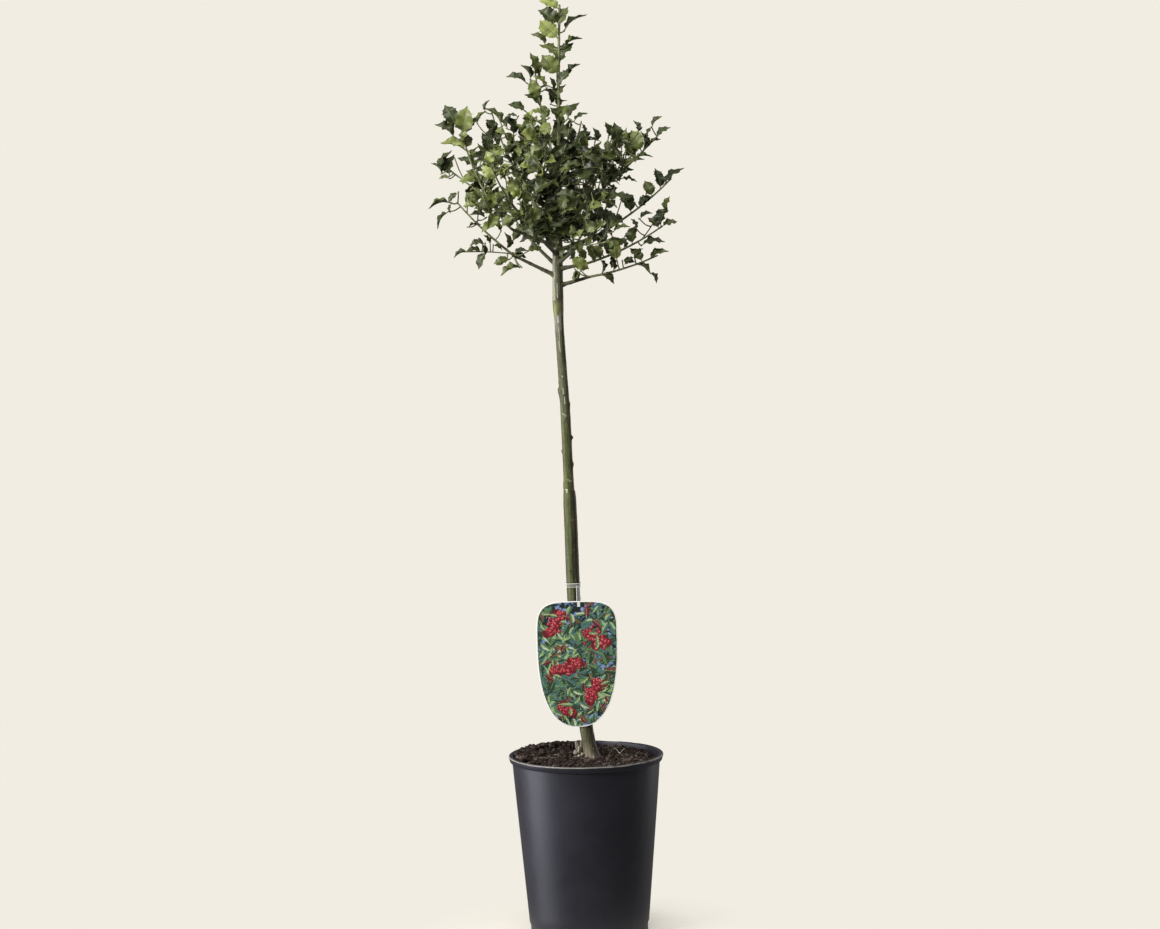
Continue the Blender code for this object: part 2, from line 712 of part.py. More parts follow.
LEAF_FACES = ((0, 1, 4), (1, 2, 4), (2, 3, 4), (3, 0, 4), (0, 3, 1), (3, 2, 1))


def leaf_samples(corners):
    """Points over a leaf, for the test of its mass's space. The root itself stays out of it, because
    it is sunk in the twig."""
    root, left, tip, right, upper = corners
    samples = [left, tip, right, upper]
    for a, b in ((root, left), (root, right), (root, upper)):
        samples += [a.lerp(b, part) for part in (0.25, 0.5, 0.75)]
    for a, b in ((left, tip), (right, tip), (upper, tip), (upper, left), (upper, right)):
        samples += [a.lerp(b, part) for part in (0.33, 0.67)]
    for a in (left, right):
        samples += [(root + a + upper) / 3, (tip + a + upper) / 3]
    return np.array([tuple(p) for p in samples])


def solid_tree(parts):
    """A search tree over a solid's faces, to find what crosses it."""
    vertices, faces = parts
    return BVHTree.FromPolygons([tuple(v) for v in vertices], faces)


def shoot_parts(shoot, foot_facing=None):
    """Vertices and faces of one shoot's tube."""
    points, foot, tip = shoot[:3]
    return tube_parts(points, tapered(foot, tip, len(points)), TWIG_SIDES, foot_facing)


def grow_mass(index, shoots, space):
    """The twigs and leaves of one mass that keep to its space and clear of one another."""
    rng = random.Random(RULE_SEED + index)
    twigs = []
    wood = [solid_tree(shoot_parts(shoot)) for shoot in shoots]
    for twig in grow_twigs(rng, shoots):
        samples = dense_points([twig[0][0].lerp(twig[0][1], 0.25), *twig[0][1:]])
        tree = solid_tree(shoot_parts(twig))
        crossed = sum(bool(tree.overlap(other)) for other in wood)
        if crossed < 2 and space.holds(index, samples):
            twigs.append(twig)
            wood.append(tree)
    leaves, trees = [], []
    for number, shoot in enumerate([*shoots, *twigs]):
        others = wood[:number] + wood[number + 1:]
        for tries in grow_leaves(rng, shoot):
            for frame, size in tries:
                corners = leaf_corners(frame, size)
                tree = solid_tree((corners, LEAF_FACES))
                if any(tree.overlap(other) for other in others + trees):
                    continue
                if space.holds(index, leaf_samples(corners)):
                    leaves.append(corners)
                    trees.append(tree)
                    break
    return twigs, leaves


def make_mass(name, index, shoots, facing, space):
    """One mass of foliage as one solid: its stem with side shoots, twigs and leaves fused on."""
    twigs, leaves = grow_mass(index, shoots, space)
    helpers = bpy.data.collections.new(f"{name}_pieces")
    mass = mesh_object(f"foliage_{name}", *shoot_parts(shoots[0], facing), "holly_leaf")
    for number, shoot in enumerate([*shoots[1:], *twigs]):
        mesh_object(f"{name}_twig_{number}", *shoot_parts(shoot), "holly_leaf", helpers)
    for number, corners in enumerate(leaves):
        mesh_object(f"{name}_leaf_{number}", corners, LEAF_FACES, "holly_leaf", helpers)
    boolean(mass, "UNION", collection=helpers)
    remove_collection(helpers)
    keep_largest_body(mass)
    return mass


def label_outline():
    """The label's outline as (x, z) points: two halves of superellipses, square-shouldered above and
    rounder and longer below."""
    shoulder = LABEL_HEIGHT * LABEL_SHOULDER
    middle = LABEL_TOP - shoulder
    halves = ((LABEL_CORNER_POWER, shoulder, 0), (LABEL_FOOT_POWER, LABEL_HEIGHT - shoulder, math.pi))
    outline = []
    for power, depth, start in halves:
        for i in range(2 * LABEL_STEPS):
            angle = start + math.pi * i / (2 * LABEL_STEPS)
            across = math.copysign(abs(math.cos(angle)) ** (2 / power), math.cos(angle))
            along = math.copysign(abs(math.sin(angle)) ** (2 / power), math.sin(angle))
            outline.append((LABEL_CENTRE_X + across * LABEL_WIDTH / 2, middle + along * depth))
    return outline


def plate(outline, plane_y, thickness):
    """Vertices and faces of a plate of that (x, z) outline, its back at plane_y."""
    count = len(outline)
    vertices = [(x, plane_y, z) for x, z in outline]
    vertices += [(x, plane_y - thickness, z) for x, z in outline]
    faces = [tuple(range(count - 1, -1, -1)), tuple(range(count, 2 * count))]
    for k in range(count):
        after = (k + 1) % count
        faces.append((k, after, count + after, count + k))
    return vertices, faces


def strap_loop():
    """Vertices and faces of the strap's loop round the trunk, nearly square with round corners."""
    centre = trunk_centre(STRAP_TOP)
    vertices, faces = [], []
    for half in (STRAP_LOOP_HALF, STRAP_LOOP_HALF - LABEL_THICKNESS):
        for height in (STRAP_TOP - STRAP_WIDTH, STRAP_TOP):
            for k in range(STRAP_LOOP_SIDES):
                angle = 2 * math.pi * (k + 0.5) / STRAP_LOOP_SIDES
                power = 2 / STRAP_LOOP_POWER
                x = math.copysign(abs(math.cos(angle)) ** power, math.cos(angle))
                y = math.copysign(abs(math.sin(angle)) ** power, math.sin(angle))
                vertices.append((centre.x + x * half, centre.y + y * half, height))
    outer_low, outer_high, inner_low, inner_high = (i * STRAP_LOOP_SIDES for i in range(4))
    for a, b in ((outer_low, outer_high), (outer_high, inner_high),
                 (inner_high, inner_low), (inner_low, outer_low)):
        for k in range(STRAP_LOOP_SIDES):
            after = (k + 1) % STRAP_LOOP_SIDES
            faces.append((a + k, a + after, b + after, b + k))
    return vertices, faces


def make_label():
    """The hanging label: plate, strap and the strap's loop round the trunk, one piece of plastic."""
    label = mesh_object("hanging_label", *plate(label_outline(), LABEL_PLANE_Y, LABEL_THICKNESS), "label")
    pieces = bpy.data.collections.new("strap_pieces")
    low, high = LABEL_TOP - STRAP_WIDTH, STRAP_TOP
    left, right = STRAP_X - STRAP_WIDTH / 2, STRAP_X + STRAP_WIDTH / 2
    strap = [(right, low), (right, high), (left, high), (left, low)]
    inset = LABEL_THICKNESS / 4
    mesh_object("strap", *plate(strap, LABEL_PLANE_Y + inset, LABEL_THICKNESS), "label", pieces)
    mesh_object("strap_loop", *strap_loop(), "label", pieces)
    boolean(label, "UNION", collection=pieces)
    remove_collection(pieces)
    return label


def main():
    clear_scene()
    make_pot()
    make_soil()
    make_trunk()
    cutter = trunk_cutter()
    for row in BOUGHS:
        make_bough(row, cutter)
    bpy.data.objects.remove(cutter)
    plan = mass_plan()
    space = Space(plan)
    for index, (name, shoots, facing) in enumerate(plan):
        make_mass(name, index, shoots, facing, space)
    make_label()


main()
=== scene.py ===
"""The looks of a holly grown as a standard in a nursery pot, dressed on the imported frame.

Metres, +Z up, in the frame of the solids: the origin is the centre of the pot's flat underside, +X is
to the right of the view that shows the label's face, and -Y points at that view.
"""

import math
import random

import bpy
import numpy as np
from mathutils import Matrix, Vector, noise
from mathutils.bvhtree import BVHTree


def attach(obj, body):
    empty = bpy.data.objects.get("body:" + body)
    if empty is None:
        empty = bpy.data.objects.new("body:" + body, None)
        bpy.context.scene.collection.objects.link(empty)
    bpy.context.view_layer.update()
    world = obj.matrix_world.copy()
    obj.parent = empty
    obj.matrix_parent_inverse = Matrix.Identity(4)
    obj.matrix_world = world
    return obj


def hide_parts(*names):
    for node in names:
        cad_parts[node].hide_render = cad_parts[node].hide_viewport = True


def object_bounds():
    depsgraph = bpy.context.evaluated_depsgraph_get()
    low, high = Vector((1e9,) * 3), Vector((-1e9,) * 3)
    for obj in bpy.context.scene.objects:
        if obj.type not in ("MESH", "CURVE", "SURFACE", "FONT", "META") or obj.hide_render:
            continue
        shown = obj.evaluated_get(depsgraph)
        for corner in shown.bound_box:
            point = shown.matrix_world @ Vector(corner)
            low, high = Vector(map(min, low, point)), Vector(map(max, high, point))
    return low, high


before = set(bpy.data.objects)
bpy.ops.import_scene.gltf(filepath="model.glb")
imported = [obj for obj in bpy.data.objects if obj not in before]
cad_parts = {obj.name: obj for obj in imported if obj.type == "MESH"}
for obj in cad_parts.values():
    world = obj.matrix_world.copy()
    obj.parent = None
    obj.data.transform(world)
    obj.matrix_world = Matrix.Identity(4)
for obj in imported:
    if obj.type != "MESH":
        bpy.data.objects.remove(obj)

CAD_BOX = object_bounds()
TAU = 2 * math.pi

# The photograph's camera.
CAMERA_PLACE = Vector((0.0, -3.2, 0.82))
CAMERA_PITCH = math.radians(3.0)
CAMERA_ROLL = math.radians(1.2)
CAMERA_LENS = 72
CAMERA_SENSOR = 36

# The plant's named sizes, as in its source.
GAP = 0.0003
POT_HEIGHT = 0.250
POT_LIP_RADIUS = 0.108
POT_WALL_TOP_RADIUS = 0.1037
POT_WALL_FOOT_RADIUS = 0.0832
POT_FOOT_RADIUS = 0.0815
POT_FOOT_HEIGHT = 0.0150
POT_FOOT_STEP = 0.0010
POT_LIP_DROP = 0.0105
POT_WALL = 0.0018
POT_FLOOR = 0.0030
LIP_ROUND = 0.0014
DRAIN_HOLES = 6
DRAIN_HOLE_RADIUS = 0.0065
DRAIN_CIRCLE_RADIUS = 0.058
SOIL_FOOT_DROP = 0.0052
SOIL_EDGE_DROP = 0.0066
SOIL_EDGE_SWING = 0.0048
SOIL_HIGH_AZIMUTH = math.radians(165)
TRUNK_FOOT = POT_HEIGHT - SOIL_FOOT_DROP + GAP
TRUNK_LINE = (
    (TRUNK_FOOT, 0.0085, 0.000),
    (0.285, 0.0010, 0.000),
    (0.465, -0.0125, 0.001),
    (0.620, -0.0155, 0.001),
    (0.720, -0.0185, 0.000),
    (0.900, -0.0255, -0.001),
    (1.000, -0.0235, 0.000),
    (1.088, -0.0205, 0.001),
)
TRUNK_GIRTH = (
    (TRUNK_FOOT, 0.0126),
    (0.2530, 0.0106),
    (0.2680, 0.0093),
    (0.4500, 0.0092),
    (0.5600, 0.0089),
    (0.6080, 0.0084),
    (0.6200, 0.0072),
    (0.7200, 0.0066),
    (0.8500, 0.0064),
    (0.8700, 0.0072),
    (0.9600, 0.0069),
    (1.0000, 0.0052),
    (1.0880, 0.0026),
)
TRUNK_RINGS = 22
BOUGHS = (
    ("low_right", 0.899, 352, 13, 15, 0.046),
    ("right", 0.922, 344, 7, 11, 0.044),
    ("mid_right", 0.947, 10, 18, 24, 0.064),
    ("upper_right", 0.972, 15, 42, 46, 0.053),
    ("high_right", 1.003, 51, 42, 48, 0.040),
    ("top_right", 1.030, 29, 60, 66, 0.037),
    ("low_left", 0.912, 188, 25, 28, 0.067),
    ("upper_left", 0.953, 213, 15, 21, 0.078),
    ("mid_left", 0.966, 161, 25, 29, 0.063),
    ("high_left", 0.988, 133, 25, 31, 0.044),
    ("spike_left", 1.052, 223, 65, 75, 0.034),
    ("front_low", 0.930, 296, 13, 21, 0.058),
    ("front_left", 0.942, 243, 20, 28, 0.064),
    ("front_far_left", 0.962, 223, 22, 30, 0.071),
    ("front_right", 0.960, 297, 25, 33, 0.060),
    ("front_mid", 0.980, 268, 27, 35, 0.051),
    ("front_high", 1.022, 284, 45, 53, 0.048),
    ("front_high_left", 1.035, 233, 50, 58, 0.047),
    ("back_low", 0.917, 92, 26, 32, 0.062),
    ("back_low_left", 0.926, 125, 28, 34, 0.069),
    ("back_low_right", 0.936, 53, 18, 24, 0.065),
    ("back", 0.957, 89, 23, 29, 0.065),
    ("back_left", 0.979, 126, 28, 34, 0.061),
    ("back_right", 0.985, 61, 29, 35, 0.058),
    ("back_high", 1.014, 93, 40, 46, 0.048),
)
BOUGH_FOOT_RADIUS = 0.0028
BOUGH_TIP_RADIUS = 0.0019
BOUGH_STEP = 0.014
MASSES = {
    "low_right": (355, 9, 23, 0.096, 0.25, ()),
    "right": (358, 16, 34, 0.113, 0.1, ((0.72, 14, 48, 68, 0.045), (0.3, 46, 33, 53, 0.043))),
    "mid_right": (357, 28, 44, 0.121, 0, ((0.15, 297, 38, 58, 0.047), (0.6, 8, 70, 85, 0.029))),
    "upper_right": (3, 39, 45, 0.139, 0, ((0.35, 313, 44, 66, 0.066), (0.15, 32, 63, 85, 0.085))),
    "high_right": (17, 42, 56, 0.103, 0, ((0.35, 63, 55, 65, 0.056),)),
    "top_right": (341, 65, 77, 0.062, 0, ((0.2, 312, 30, 42, 0.040),)),
    "low_left": (184, 38, 50, 0.104, 0.1, ((0.03, 190, 7, -1, 0.065), (0.82, 86, 56, 66, 0.026))),
    "upper_left": (197, 48, 82, 0.162, 0, ((0.12, 215, 13, 33, 0.049), (0.42, 63, 63, 83, 0.075))),
    "mid_left": (178, 32, 40, 0.124, 0.1, ((0.72, 214, 58, 70, 0.035), (0.4, 146, 57, 77, 0.060))),
    "high_left": (174, 55, 75, 0.148, 0, ((0.4, 98, 70, 84, 0.069),)),
    "spike_left": (185, 75, 85, 0.120, 0, ((0.3, 179, 29, 43, 0.034),)),
    "front_low": (287, 26, 50, 0.086, 0, ((0.12, 312, -5, 9, 0.064), (0.05, 252, 40, 54, 0.050))),
    "front_left": (256, 23, 47, 0.094, 0, ((0.3, 238, 6, 18, 0.048), (0.05, 300, 20, 34, 0.036))),
    "front_far_left": (241, 26, 50, 0.097, 0, ()),
    "front_right": (299, 27, 51, 0.097, 0, ((0.25, 316, 4, 16, 0.041),)),
    "front_mid": (262, 56, 80, 0.098, 0, ((0.3, 240, 30, 44, 0.052),)),
    "front_high": (296, 58, 72, 0.055, 0, ()),
    "front_high_left": (232, 53, 67, 0.055, 0, ()),
    "back_low": (96, 22, 42, 0.091, 0.1, ()),
    "back_low_left": (121, 28, 52, 0.099, 0.05, ((0.3, 90, 29, 41, 0.055),)),
    "back_low_right": (62, 25, 49, 0.093, 0.05, ((0.3, 96, 29, 41, 0.057),)),
    "back": (91, 37, 61, 0.098, 0, ()),
    "back_left": (125, 43, 67, 0.107, 0, ((0.3, 94, 46, 60, 0.046),)),
    "back_right": (43, 34, 58, 0.102, 0, ((0.3, 92, 52, 66, 0.049),)),
    "back_high": (57, 65, 85, 0.084, 0, ()),
    "leader": (0, 89, 91, 0.192, 0, ()),
}
STEM_FOOT_RADIUS = 0.0018
STEM_TIP_RADIUS = 0.0010
STEM_STEP = 0.020
LEADER_SWAY = 0.0055
LEADER_TIP_RADIUS = 0.0015

# The rule of growth, as in the source.
TWIG_FOOT_SHARE = 0.48
TWIG_TIP_RADIUS = 0.0008
TWIG_SIDES = 3
TWIG_STEPS = 2
TWIG_PITCH = 0.024
TWIG_FIRST = 0.010
TWIG_CLEAR_OF_TIP = 0.020
TWIG_LENGTH = 0.040
TWIG_LENGTH_AT_FOOT = 1.15
TWIG_LENGTH_LOST = 0.5
TWIG_LENGTH_SWAY = (0.65, 1.2)
TWIG_PITCH_SWAY = (0.8, 1.25)
TWIG_SPREAD = 48
TWIG_SPREAD_SWAY = 10
TWIG_LIFT = 0.55
DIVERGENCE = 137.5
DIVERGENCE_SWAY = 14
LEAF_PITCH = 0.0150
LEAF_FIRST = 0.010
LEAF_FIRST_SWAY = (0.6, 1.2)
LEAF_PITCH_SWAY = (0.8, 1.2)
LEAF_SHORT_OF_TIP = 0.0005
LEAF_LENGTH = 0.0310
LEAF_WIDTH = 0.0185
LEAF_THICKNESS = 0.0008
LEAF_WIDEST = 0.46
LEAF_ROOT_SINK = 0.0008
LEAF_ARCH = 0.0022
LEAF_DROOP = 0.0034
LEAF_TRIES = 4
LEAF_TRY_TURN = 52
LEAF_OPEN = 56
LEAF_OPEN_AT_TIP = 30
LEAF_OPEN_SWAY = 12
LEAF_SIZES = (0.80, 1.12)
LEAF_TIP_SHRINK = 0.18
LEAF_CROWD_FROM = 0.82
LEAF_CROWD = 0.5
LEAF_AHEAD = 0.45
LEAF_LIGHT = Vector((0, -0.3, 0.55))
LEAF_SWAY = 0.6
RULE_SEED = 400
SPACE_MARGIN = 0.0010
LIMB_MARGIN = 0.0012

# The finer growth that only this script adds.
FINE_SEED = 900
FINE_ROUNDS = 2
FINE_KEPT_INSIDE = 0.80
FINE_KEPT_OUTSIDE = 0.55
FINE_TWIG_SCALE = 0.50
FINE_LEAF_SIZES = (0.62, 0.94)

# Places as they show at the trunk's depth, as x and z: the crown's dense core, outside of which only
# placed leaves grow, and gaps of sky with their radius.
CROWN_CORE = (
    (-0.095, 1.105), (-0.068, 1.134), (-0.038, 1.158), (-0.017, 1.158), (0.003, 1.112), (0.026, 1.102),
    (0.054, 1.101), (0.072, 1.106), (0.094, 1.074), (0.055, 1.036), (0.045, 1.016), (0.060, 0.986),
    (0.051, 0.956), (0.020, 0.945), (-0.021, 0.952), (-0.046, 0.958), (-0.077, 0.973), (-0.107, 0.984),
    (-0.135, 1.003), (-0.148, 1.027), (-0.136, 1.060), (-0.138, 1.087), (-0.121, 1.125),
)
SKY_GAPS = (
    (-0.087, 1.076, 0.012),
    (-0.098, 1.036, 0.011),
    (-0.079, 1.007, 0.009),
    (-0.055, 1.012, 0.011),
    (-0.047, 0.978, 0.011),
    (0.047, 1.090, 0.011),
    (0.027, 1.033, 0.011),
    (-0.010, 1.030, 0.009),
    (-0.102, 1.098, 0.012),
    (-0.081, 1.115, 0.012),
)
DENSE_PLACES = (
    ((-0.035, 0.0, 1.035), (0.085, 0.085, 0.080)),
    ((-0.020, -0.045, 0.965), (0.055, 0.055, 0.035)),
    ((-0.100, 0.0, 1.060), (0.040, 0.060, 0.050)),
    ((0.045, 0.0, 1.060), (0.045, 0.060, 0.035)),
)

# Leaves that stand out in the photograph: where foot and tip show at the trunk's depth, as x and z in
# millimetres, the share of the width that shows in tenths, and the tone, whose steps from s to l paint each
# leaf's shade or light into its colour while y is a young leaf. A spur carries a leaf that stands off its
# shoot.
PLACED_LEAVES = (
    (-15, 1275, -41, 1288, 8, "y"), (-17, 1256, -43, 1276, 9, "d"), (-14, 1237, -42, 1261, 10, "y"),
    (-20, 1207, -42, 1229, 5, "l"), (-34, 1227, -54, 1244, 5, "m"), (-21, 1187, -40, 1214, 10, "l"),
    (-39, 1199, -44, 1184, 3, "d"), (-27, 1166, -29, 1184, 5, "d"), (-11, 1255, -4, 1279, 8, "m"),
    (-10, 1246, 23, 1271, 3, "d"), (-14, 1200, 2, 1230, 6, "d"), (-10, 1225, 14, 1237, 2, "m"),
    (-16, 1170, -1, 1193, 6, "d"), (-6, 1185, 10, 1202, 4, "d"), (-22, 1153, -10, 1174, 6, "m"),
    (-22, 1147, -8, 1153, 2, "m"), (-23, 1124, -8, 1146, 8, "m"), (-7, 1127, 8, 1149, 5, "d"),
    (1, 1123, 20, 1135, 3, "d"), (-53, 1185, -55, 1217, 6, "m"), (-56, 1181, -68, 1202, 4, "d"),
    (-61, 1176, -89, 1187, 3, "d"), (-48, 1157, -58, 1180, 10, "l"), (-35, 1169, -51, 1187, 3, "l"),
    (-32, 1172, -43, 1169, 4, "d"), (-47, 1143, -64, 1162, 6, "d"), (-29, 1147, -31, 1165, 7, "d"),
    (-68, 1134, -86, 1149, 7, "d"), (-75, 1131, -90, 1134, 4, "d"), (-160, 1119, -174, 1149, 9, "d"),
    (-150, 1110, -145, 1146, 10, "l"), (-140, 1116, -128, 1132, 5, "d"), (-162, 1104, -188, 1123, 4, "d"),
    (-149, 1086, -181, 1098, 5, "y"), (-149, 1097, -143, 1120, 6, "l"), (-130, 1071, -130, 1096, 5, "m"),
    (-139, 1074, -131, 1093, 4, "m"), (-181, 1056, -169, 1087, 3, "d"), (-171, 1052, -165, 1081, 7, "d"),
    (-130, 1061, -157, 1078, 4, "d"), (-181, 1056, -194, 1071, 3, "d"), (-170, 1049, -185, 1050, 5, "m"),
    (-127, 1046, -157, 1046, 6, "l"), (-121, 1031, -141, 1041, 7, "d"), (-120, 1139, -115, 1155, 3, "d"),
    (-97, 1119, -119, 1145, 2, "m"), (-131, 1123, -120, 1140, 3, "m"), (-106, 1110, -118, 1128, 9, "d"),
    (-116, 1085, -118, 1112, 10, "d"), (-91, 1106, -113, 1112, 7, "l"), (-86, 1106, -87, 1132, 6, "d"),
    (-159, 1029, -174, 1018, 6, "d"), (-170, 1016, -202, 1010, 2, "m"), (-169, 1015, -171, 1003, 4, "d"),
    (-173, 1004, -190, 982, 2, "d"), (-129, 1007, -152, 1011, 6, "l"), (-122, 994, -143, 1000, 3, "d"),
    (-147, 982, -129, 986, 2, "d"), (-108, 988, -128, 975, 8, "l"), (-117, 958, -125, 971, 6, "d"),
    (-124, 959, -145, 958, 6, "d"), (-127, 958, -123, 944, 7, "d"), (-130, 949, -151, 949, 5, "d"),
    (-147, 947, -166, 942, 4, "d"), (-122, 942, -135, 925, 7, "d"), (-91, 937, -112, 931, 8, "m"),
    (-75, 926, -103, 916, 3, "m"), (-94, 949, -96, 974, 5, "m"), (-86, 940, -66, 949, 5, "d"),
    (-49, 952, -66, 947, 4, "m"), (101, 1096, 108, 1115, 3, "d"), (108, 1113, 121, 1128, 3, "d"),
    (114, 1098, 132, 1112, 5, "d"), (101, 1086, 109, 1096, 5, "d"), (106, 1090, 119, 1097, 4, "d"),
    (92, 1081, 79, 1109, 10, "l"), (97, 1083, 94, 1108, 4, "d"), (89, 1105, 84, 1123, 6, "d"),
    (87, 1071, 108, 1074, 3, "d"), (79, 1060, 96, 1071, 3, "d"), (78, 1071, 70, 1096, 8, "m"),
    (75, 1057, 55, 1068, 8, "d"), (61, 1046, 81, 1057, 5, "d"), (67, 1042, 86, 1041, 4, "d"),
    (116, 1029, 113, 1057, 8, "s"), (112, 1016, 97, 1040, 9, "m"), (123, 1034, 148, 1057, 4, "s"),
    (91, 1000, 105, 1020, 7, "d"), (42, 1012, 76, 1020, 4, "d"), (78, 997, 63, 1022, 7, "d"),
    (118, 974, 125, 1003, 6, "d"), (114, 973, 100, 989, 7, "d"), (124, 999, 130, 1018, 5, "m"),
    (121, 977, 140, 984, 6, "m"), (89, 988, 106, 997, 4, "d"), (81, 951, 82, 979, 8, "m"),
    (85, 974, 78, 989, 5, "d"), (51, 971, 75, 979, 3, "m"), (90, 952, 122, 958, 4, "d"),
    (99, 933, 126, 944, 5, "m"), (91, 931, 76, 949, 8, "m"), (64, 931, 81, 930, 7, "d"),
    (86, 923, 103, 914, 3, "m"), (101, 915, 111, 901, 4, "d"), (33, 911, 52, 901, 6, "m"),
    (57, 931, 52, 960, 10, "y"), (46, 938, 41, 962, 8, "d"), (49, 923, 52, 938, 5, "m"),
    (70, 945, 65, 962, 6, "d"), (13, 958, 27, 931, 8, "l"),
    (7, 919, -4, 904, 6, "m"), (11, 974, -8, 981, 9, "d"), (-17, 971, -36, 981, 10, "d"),
    (5, 958, -12, 945, 9, "d"), (-27, 955, -41, 973, 9, "s"), (-42, 967, -62, 956, 5, "d"),
    (-75, 975, -65, 990, 4, "d"), (-19, 953, -2, 931, 3, "m"), (-21, 958, -27, 944, 7, "m"),
    (-13, 952, -18, 936, 6, "m"),
    (-7, 937, 18, 922, 10, "y"), (-94, 937, -110, 931, 8, "m"), (-78, 926, -103, 918, 2, "d"),
    (-81, 947, -68, 940, 5, "d"), (-66, 947, -48, 949, 5, "m"), (-94, 944, -82, 938, 5, "d"),
    (-113, 956, -101, 951, 4, "d"), (-1, 921, 0, 905, 7, "m"), (36, 933, 37, 915, 3, "m"),
    (15, 948, 23, 966, 9, "y"), (23, 951, 35, 936, 9, "m"), (34, 948, 41, 963, 8, "d"),
    (49, 940, 50, 922, 7, "d"), (59, 951, 72, 962, 6, "d"), (81, 937, 92, 948, 6, "m"),
    (81, 936, 67, 927, 6, "d"), (10, 931, 4, 953, 7, "l"), (-49, 953, -63, 967, 6, "d"),
    (-120, 1090, -124, 1110, 8, "d"), (-106, 1110, -118, 1128, 6, "d"), (-96, 1101, -113, 1116, 9, "m"),
    (-90, 1115, -86, 1134, 5, "d"), (-102, 1090, -107, 1108, 7, "d"), (-144, 1090, -149, 1112, 7, "m"),
    (-122, 1071, -140, 1081, 6, "d"), (-129, 1044, -146, 1060, 7, "m"), (-113, 1035, -126, 1052, 7, "d"),
    (-100, 1063, -108, 1081, 7, "d"), (-84, 1067, -97, 1079, 6, "d"), (-23, 1153, -38, 1168, 6, "d"),
    (-15, 1143, -23, 1161, 7, "d"), (-33, 1128, -45, 1146, 8, "m"), (-23, 1125, -29, 1143, 7, "d"),
    (-114, 997, -127, 1008, 8, "l"), (-92, 988, -102, 1004, 8, "d"), (-85, 977, -99, 986, 6, "d"),
    (-102, 975, -111, 986, 6, "m"), (44, 1100, 46, 1120, 6, "d"), (61, 1094, 60, 1120, 8, "d"),
    (27, 1094, 28, 1113, 6, "d"), (16, 1106, 13, 1120, 5, "d"), (76, 1085, 79, 1108, 6, "d"),
    (83, 1010, 66, 1023, 7, "d"), (105, 1022, 91, 1008, 5, "d"),
)
PLACED_TONES = {"s": 0, "d": 1, "m": 2, "l": 3, "y": 4}
PLACED_LEAF_LENGTH = 0.0295
PLACED_LEAF_SIZES = (0.45, 1.32)
PLACED_LEAN = 0.24
PLACED_WIDER = 0.08
RULE_LEAF_SHARE = 0.88
PLACED_SPINES = 1.6
PLACED_DROOP_SHARE = 0.6
PLACED_SEED = 61
OUTER_BEHIND = 0.10
CARRIER_STEP = 0.003
SPUR_FROM = 0.0065
SPUR_LONGEST = 0.040
SPUR_RADIUS = 0.0009
SPUR_SLANT = (-0.5, 0.3)
SPUR_SAG = 0.12
CLEARED_ROUND = 0.009
CLEARED_DEPTH = 0.045

# Shaded leaves by a seeded rule, in dark tones that paint shade where the crown shows darkest: how many,
# and the seen ellipse that they fill as its centre x and z and its reach. SHADED_DIP is how far below the
# level they may aim.
SHADED_PLACES = (
    (80, -0.025, 0.996, 0.036, 0.046),
    (26, 0.014, 1.064, 0.024, 0.020),
)
SHADED_DIP = 0.6
SHADED_LENGTHS = (0.022, 0.031)
SHADED_SHOWN = (0.45, 1.0)
SHADED_BEHIND = 0.6

# A holly leaf in its own outline.
TOOTH_PLACES = (0.14, 0.31, 0.49, 0.67, 0.83)
TOOTH_REACH = 0.0008
TOOTH_FLANK = 0.034
VALLEY_DEPTH = 0.06
BLADE_FROM = 0.13
BLADE_THICKNESS = 0.00036
BLADE_LENGTH_SHARE = 0.90
BLADE_WIDTH_SHARE = 0.98
LEAF_TIP_SPINE = 0.0026
MARGIN_WAVE = 0.0019
RIB_HALF = 0.00042
FOLD = (0.15, 0.75)
ROLL_SWAY = 48
NOD_SWAY = 16
RIB_COLUMNS = (2, 3)
RIB_SINK = 0.00010
RIB_BULGE = 0.00030
PETIOLE_RADIUS = 0.00066
BUD_PROFILE = ((0.0, 0.55), (0.3, 1.0), (0.62, 0.78), (0.86, 0.34))
SIDE_BUD_SHARE = 0.5
SIDE_BUD_LENGTH = 0.0019
SIDE_BUD_RADIUS = 0.00062

# How a shoot or bough thickens: its collar's rise and reach, and the rise and reach of a swelling.
STEM_RUN_BACK = 0.004
SHOOT_COLLAR = 0.55
SHOOT_COLLAR_REACH = 0.0022
SHOOT_SWELLING = (0.16, 0.0013)
BOUGH_COLLAR = 0.75
BOUGH_COLLAR_REACH = 0.0034
BOUGH_SWELLING = (0.13, 0.0016)

# The looks' own random seed and how far tones sway, and how a leaf shrinks to keep to the box.
LOOKS_SEED = 7000
SPRAY_TONE_SWAY = 0.22
LEAF_TONE_SWAY = 0.24
LEAF_SHRINK_STEP = 0.94
LEAF_LEAST_SIZE = 0.4

# The trunk's marks. Azimuths run in degrees from +X, so 270 faces the camera and 180 is its left. A patch
# is its lowest and highest place, its azimuth, half its spread in degrees and its slot of TRUNK_SLOTS. Some
# patches are painted light and shade: a highlight streak down the glossy bark's front-left and shade down
# its right side.
TRUNK_SLOTS = ("trunk_bark", "pale_bark_and_highlight", "white_scar_and_highlight", "old_bark_and_shade", "cream_bark", "painted_shade_bark")
SCAR_SEED = 31
BOUGH_SEED = 77
PRUNED_JOINT = 0.6165
OLD_LEADER_SIDES = (288, 425)
OLD_LEADER_RISE = 0.0005
SEAM_DEPTH = 0.0011
ROOT_AZIMUTHS = (200, 262, 305, 20, 100)
ROOT_RISE = 0.0010
TRUNK_SCARS = (
    (0.756, 188, 0.0022, 0.0048),
    (0.737, 352, 0.0010, 0.0035),
    (0.691, 350, 0.0030, 0.0020),
    (0.672, 186, 0.0019, 0.0020),
    (0.654, 352, 0.0015, 0.0028),
    (0.6255, 186, 0.0010, 0.0060),
    (0.883, 204, 0.0010, 0.0040),
)
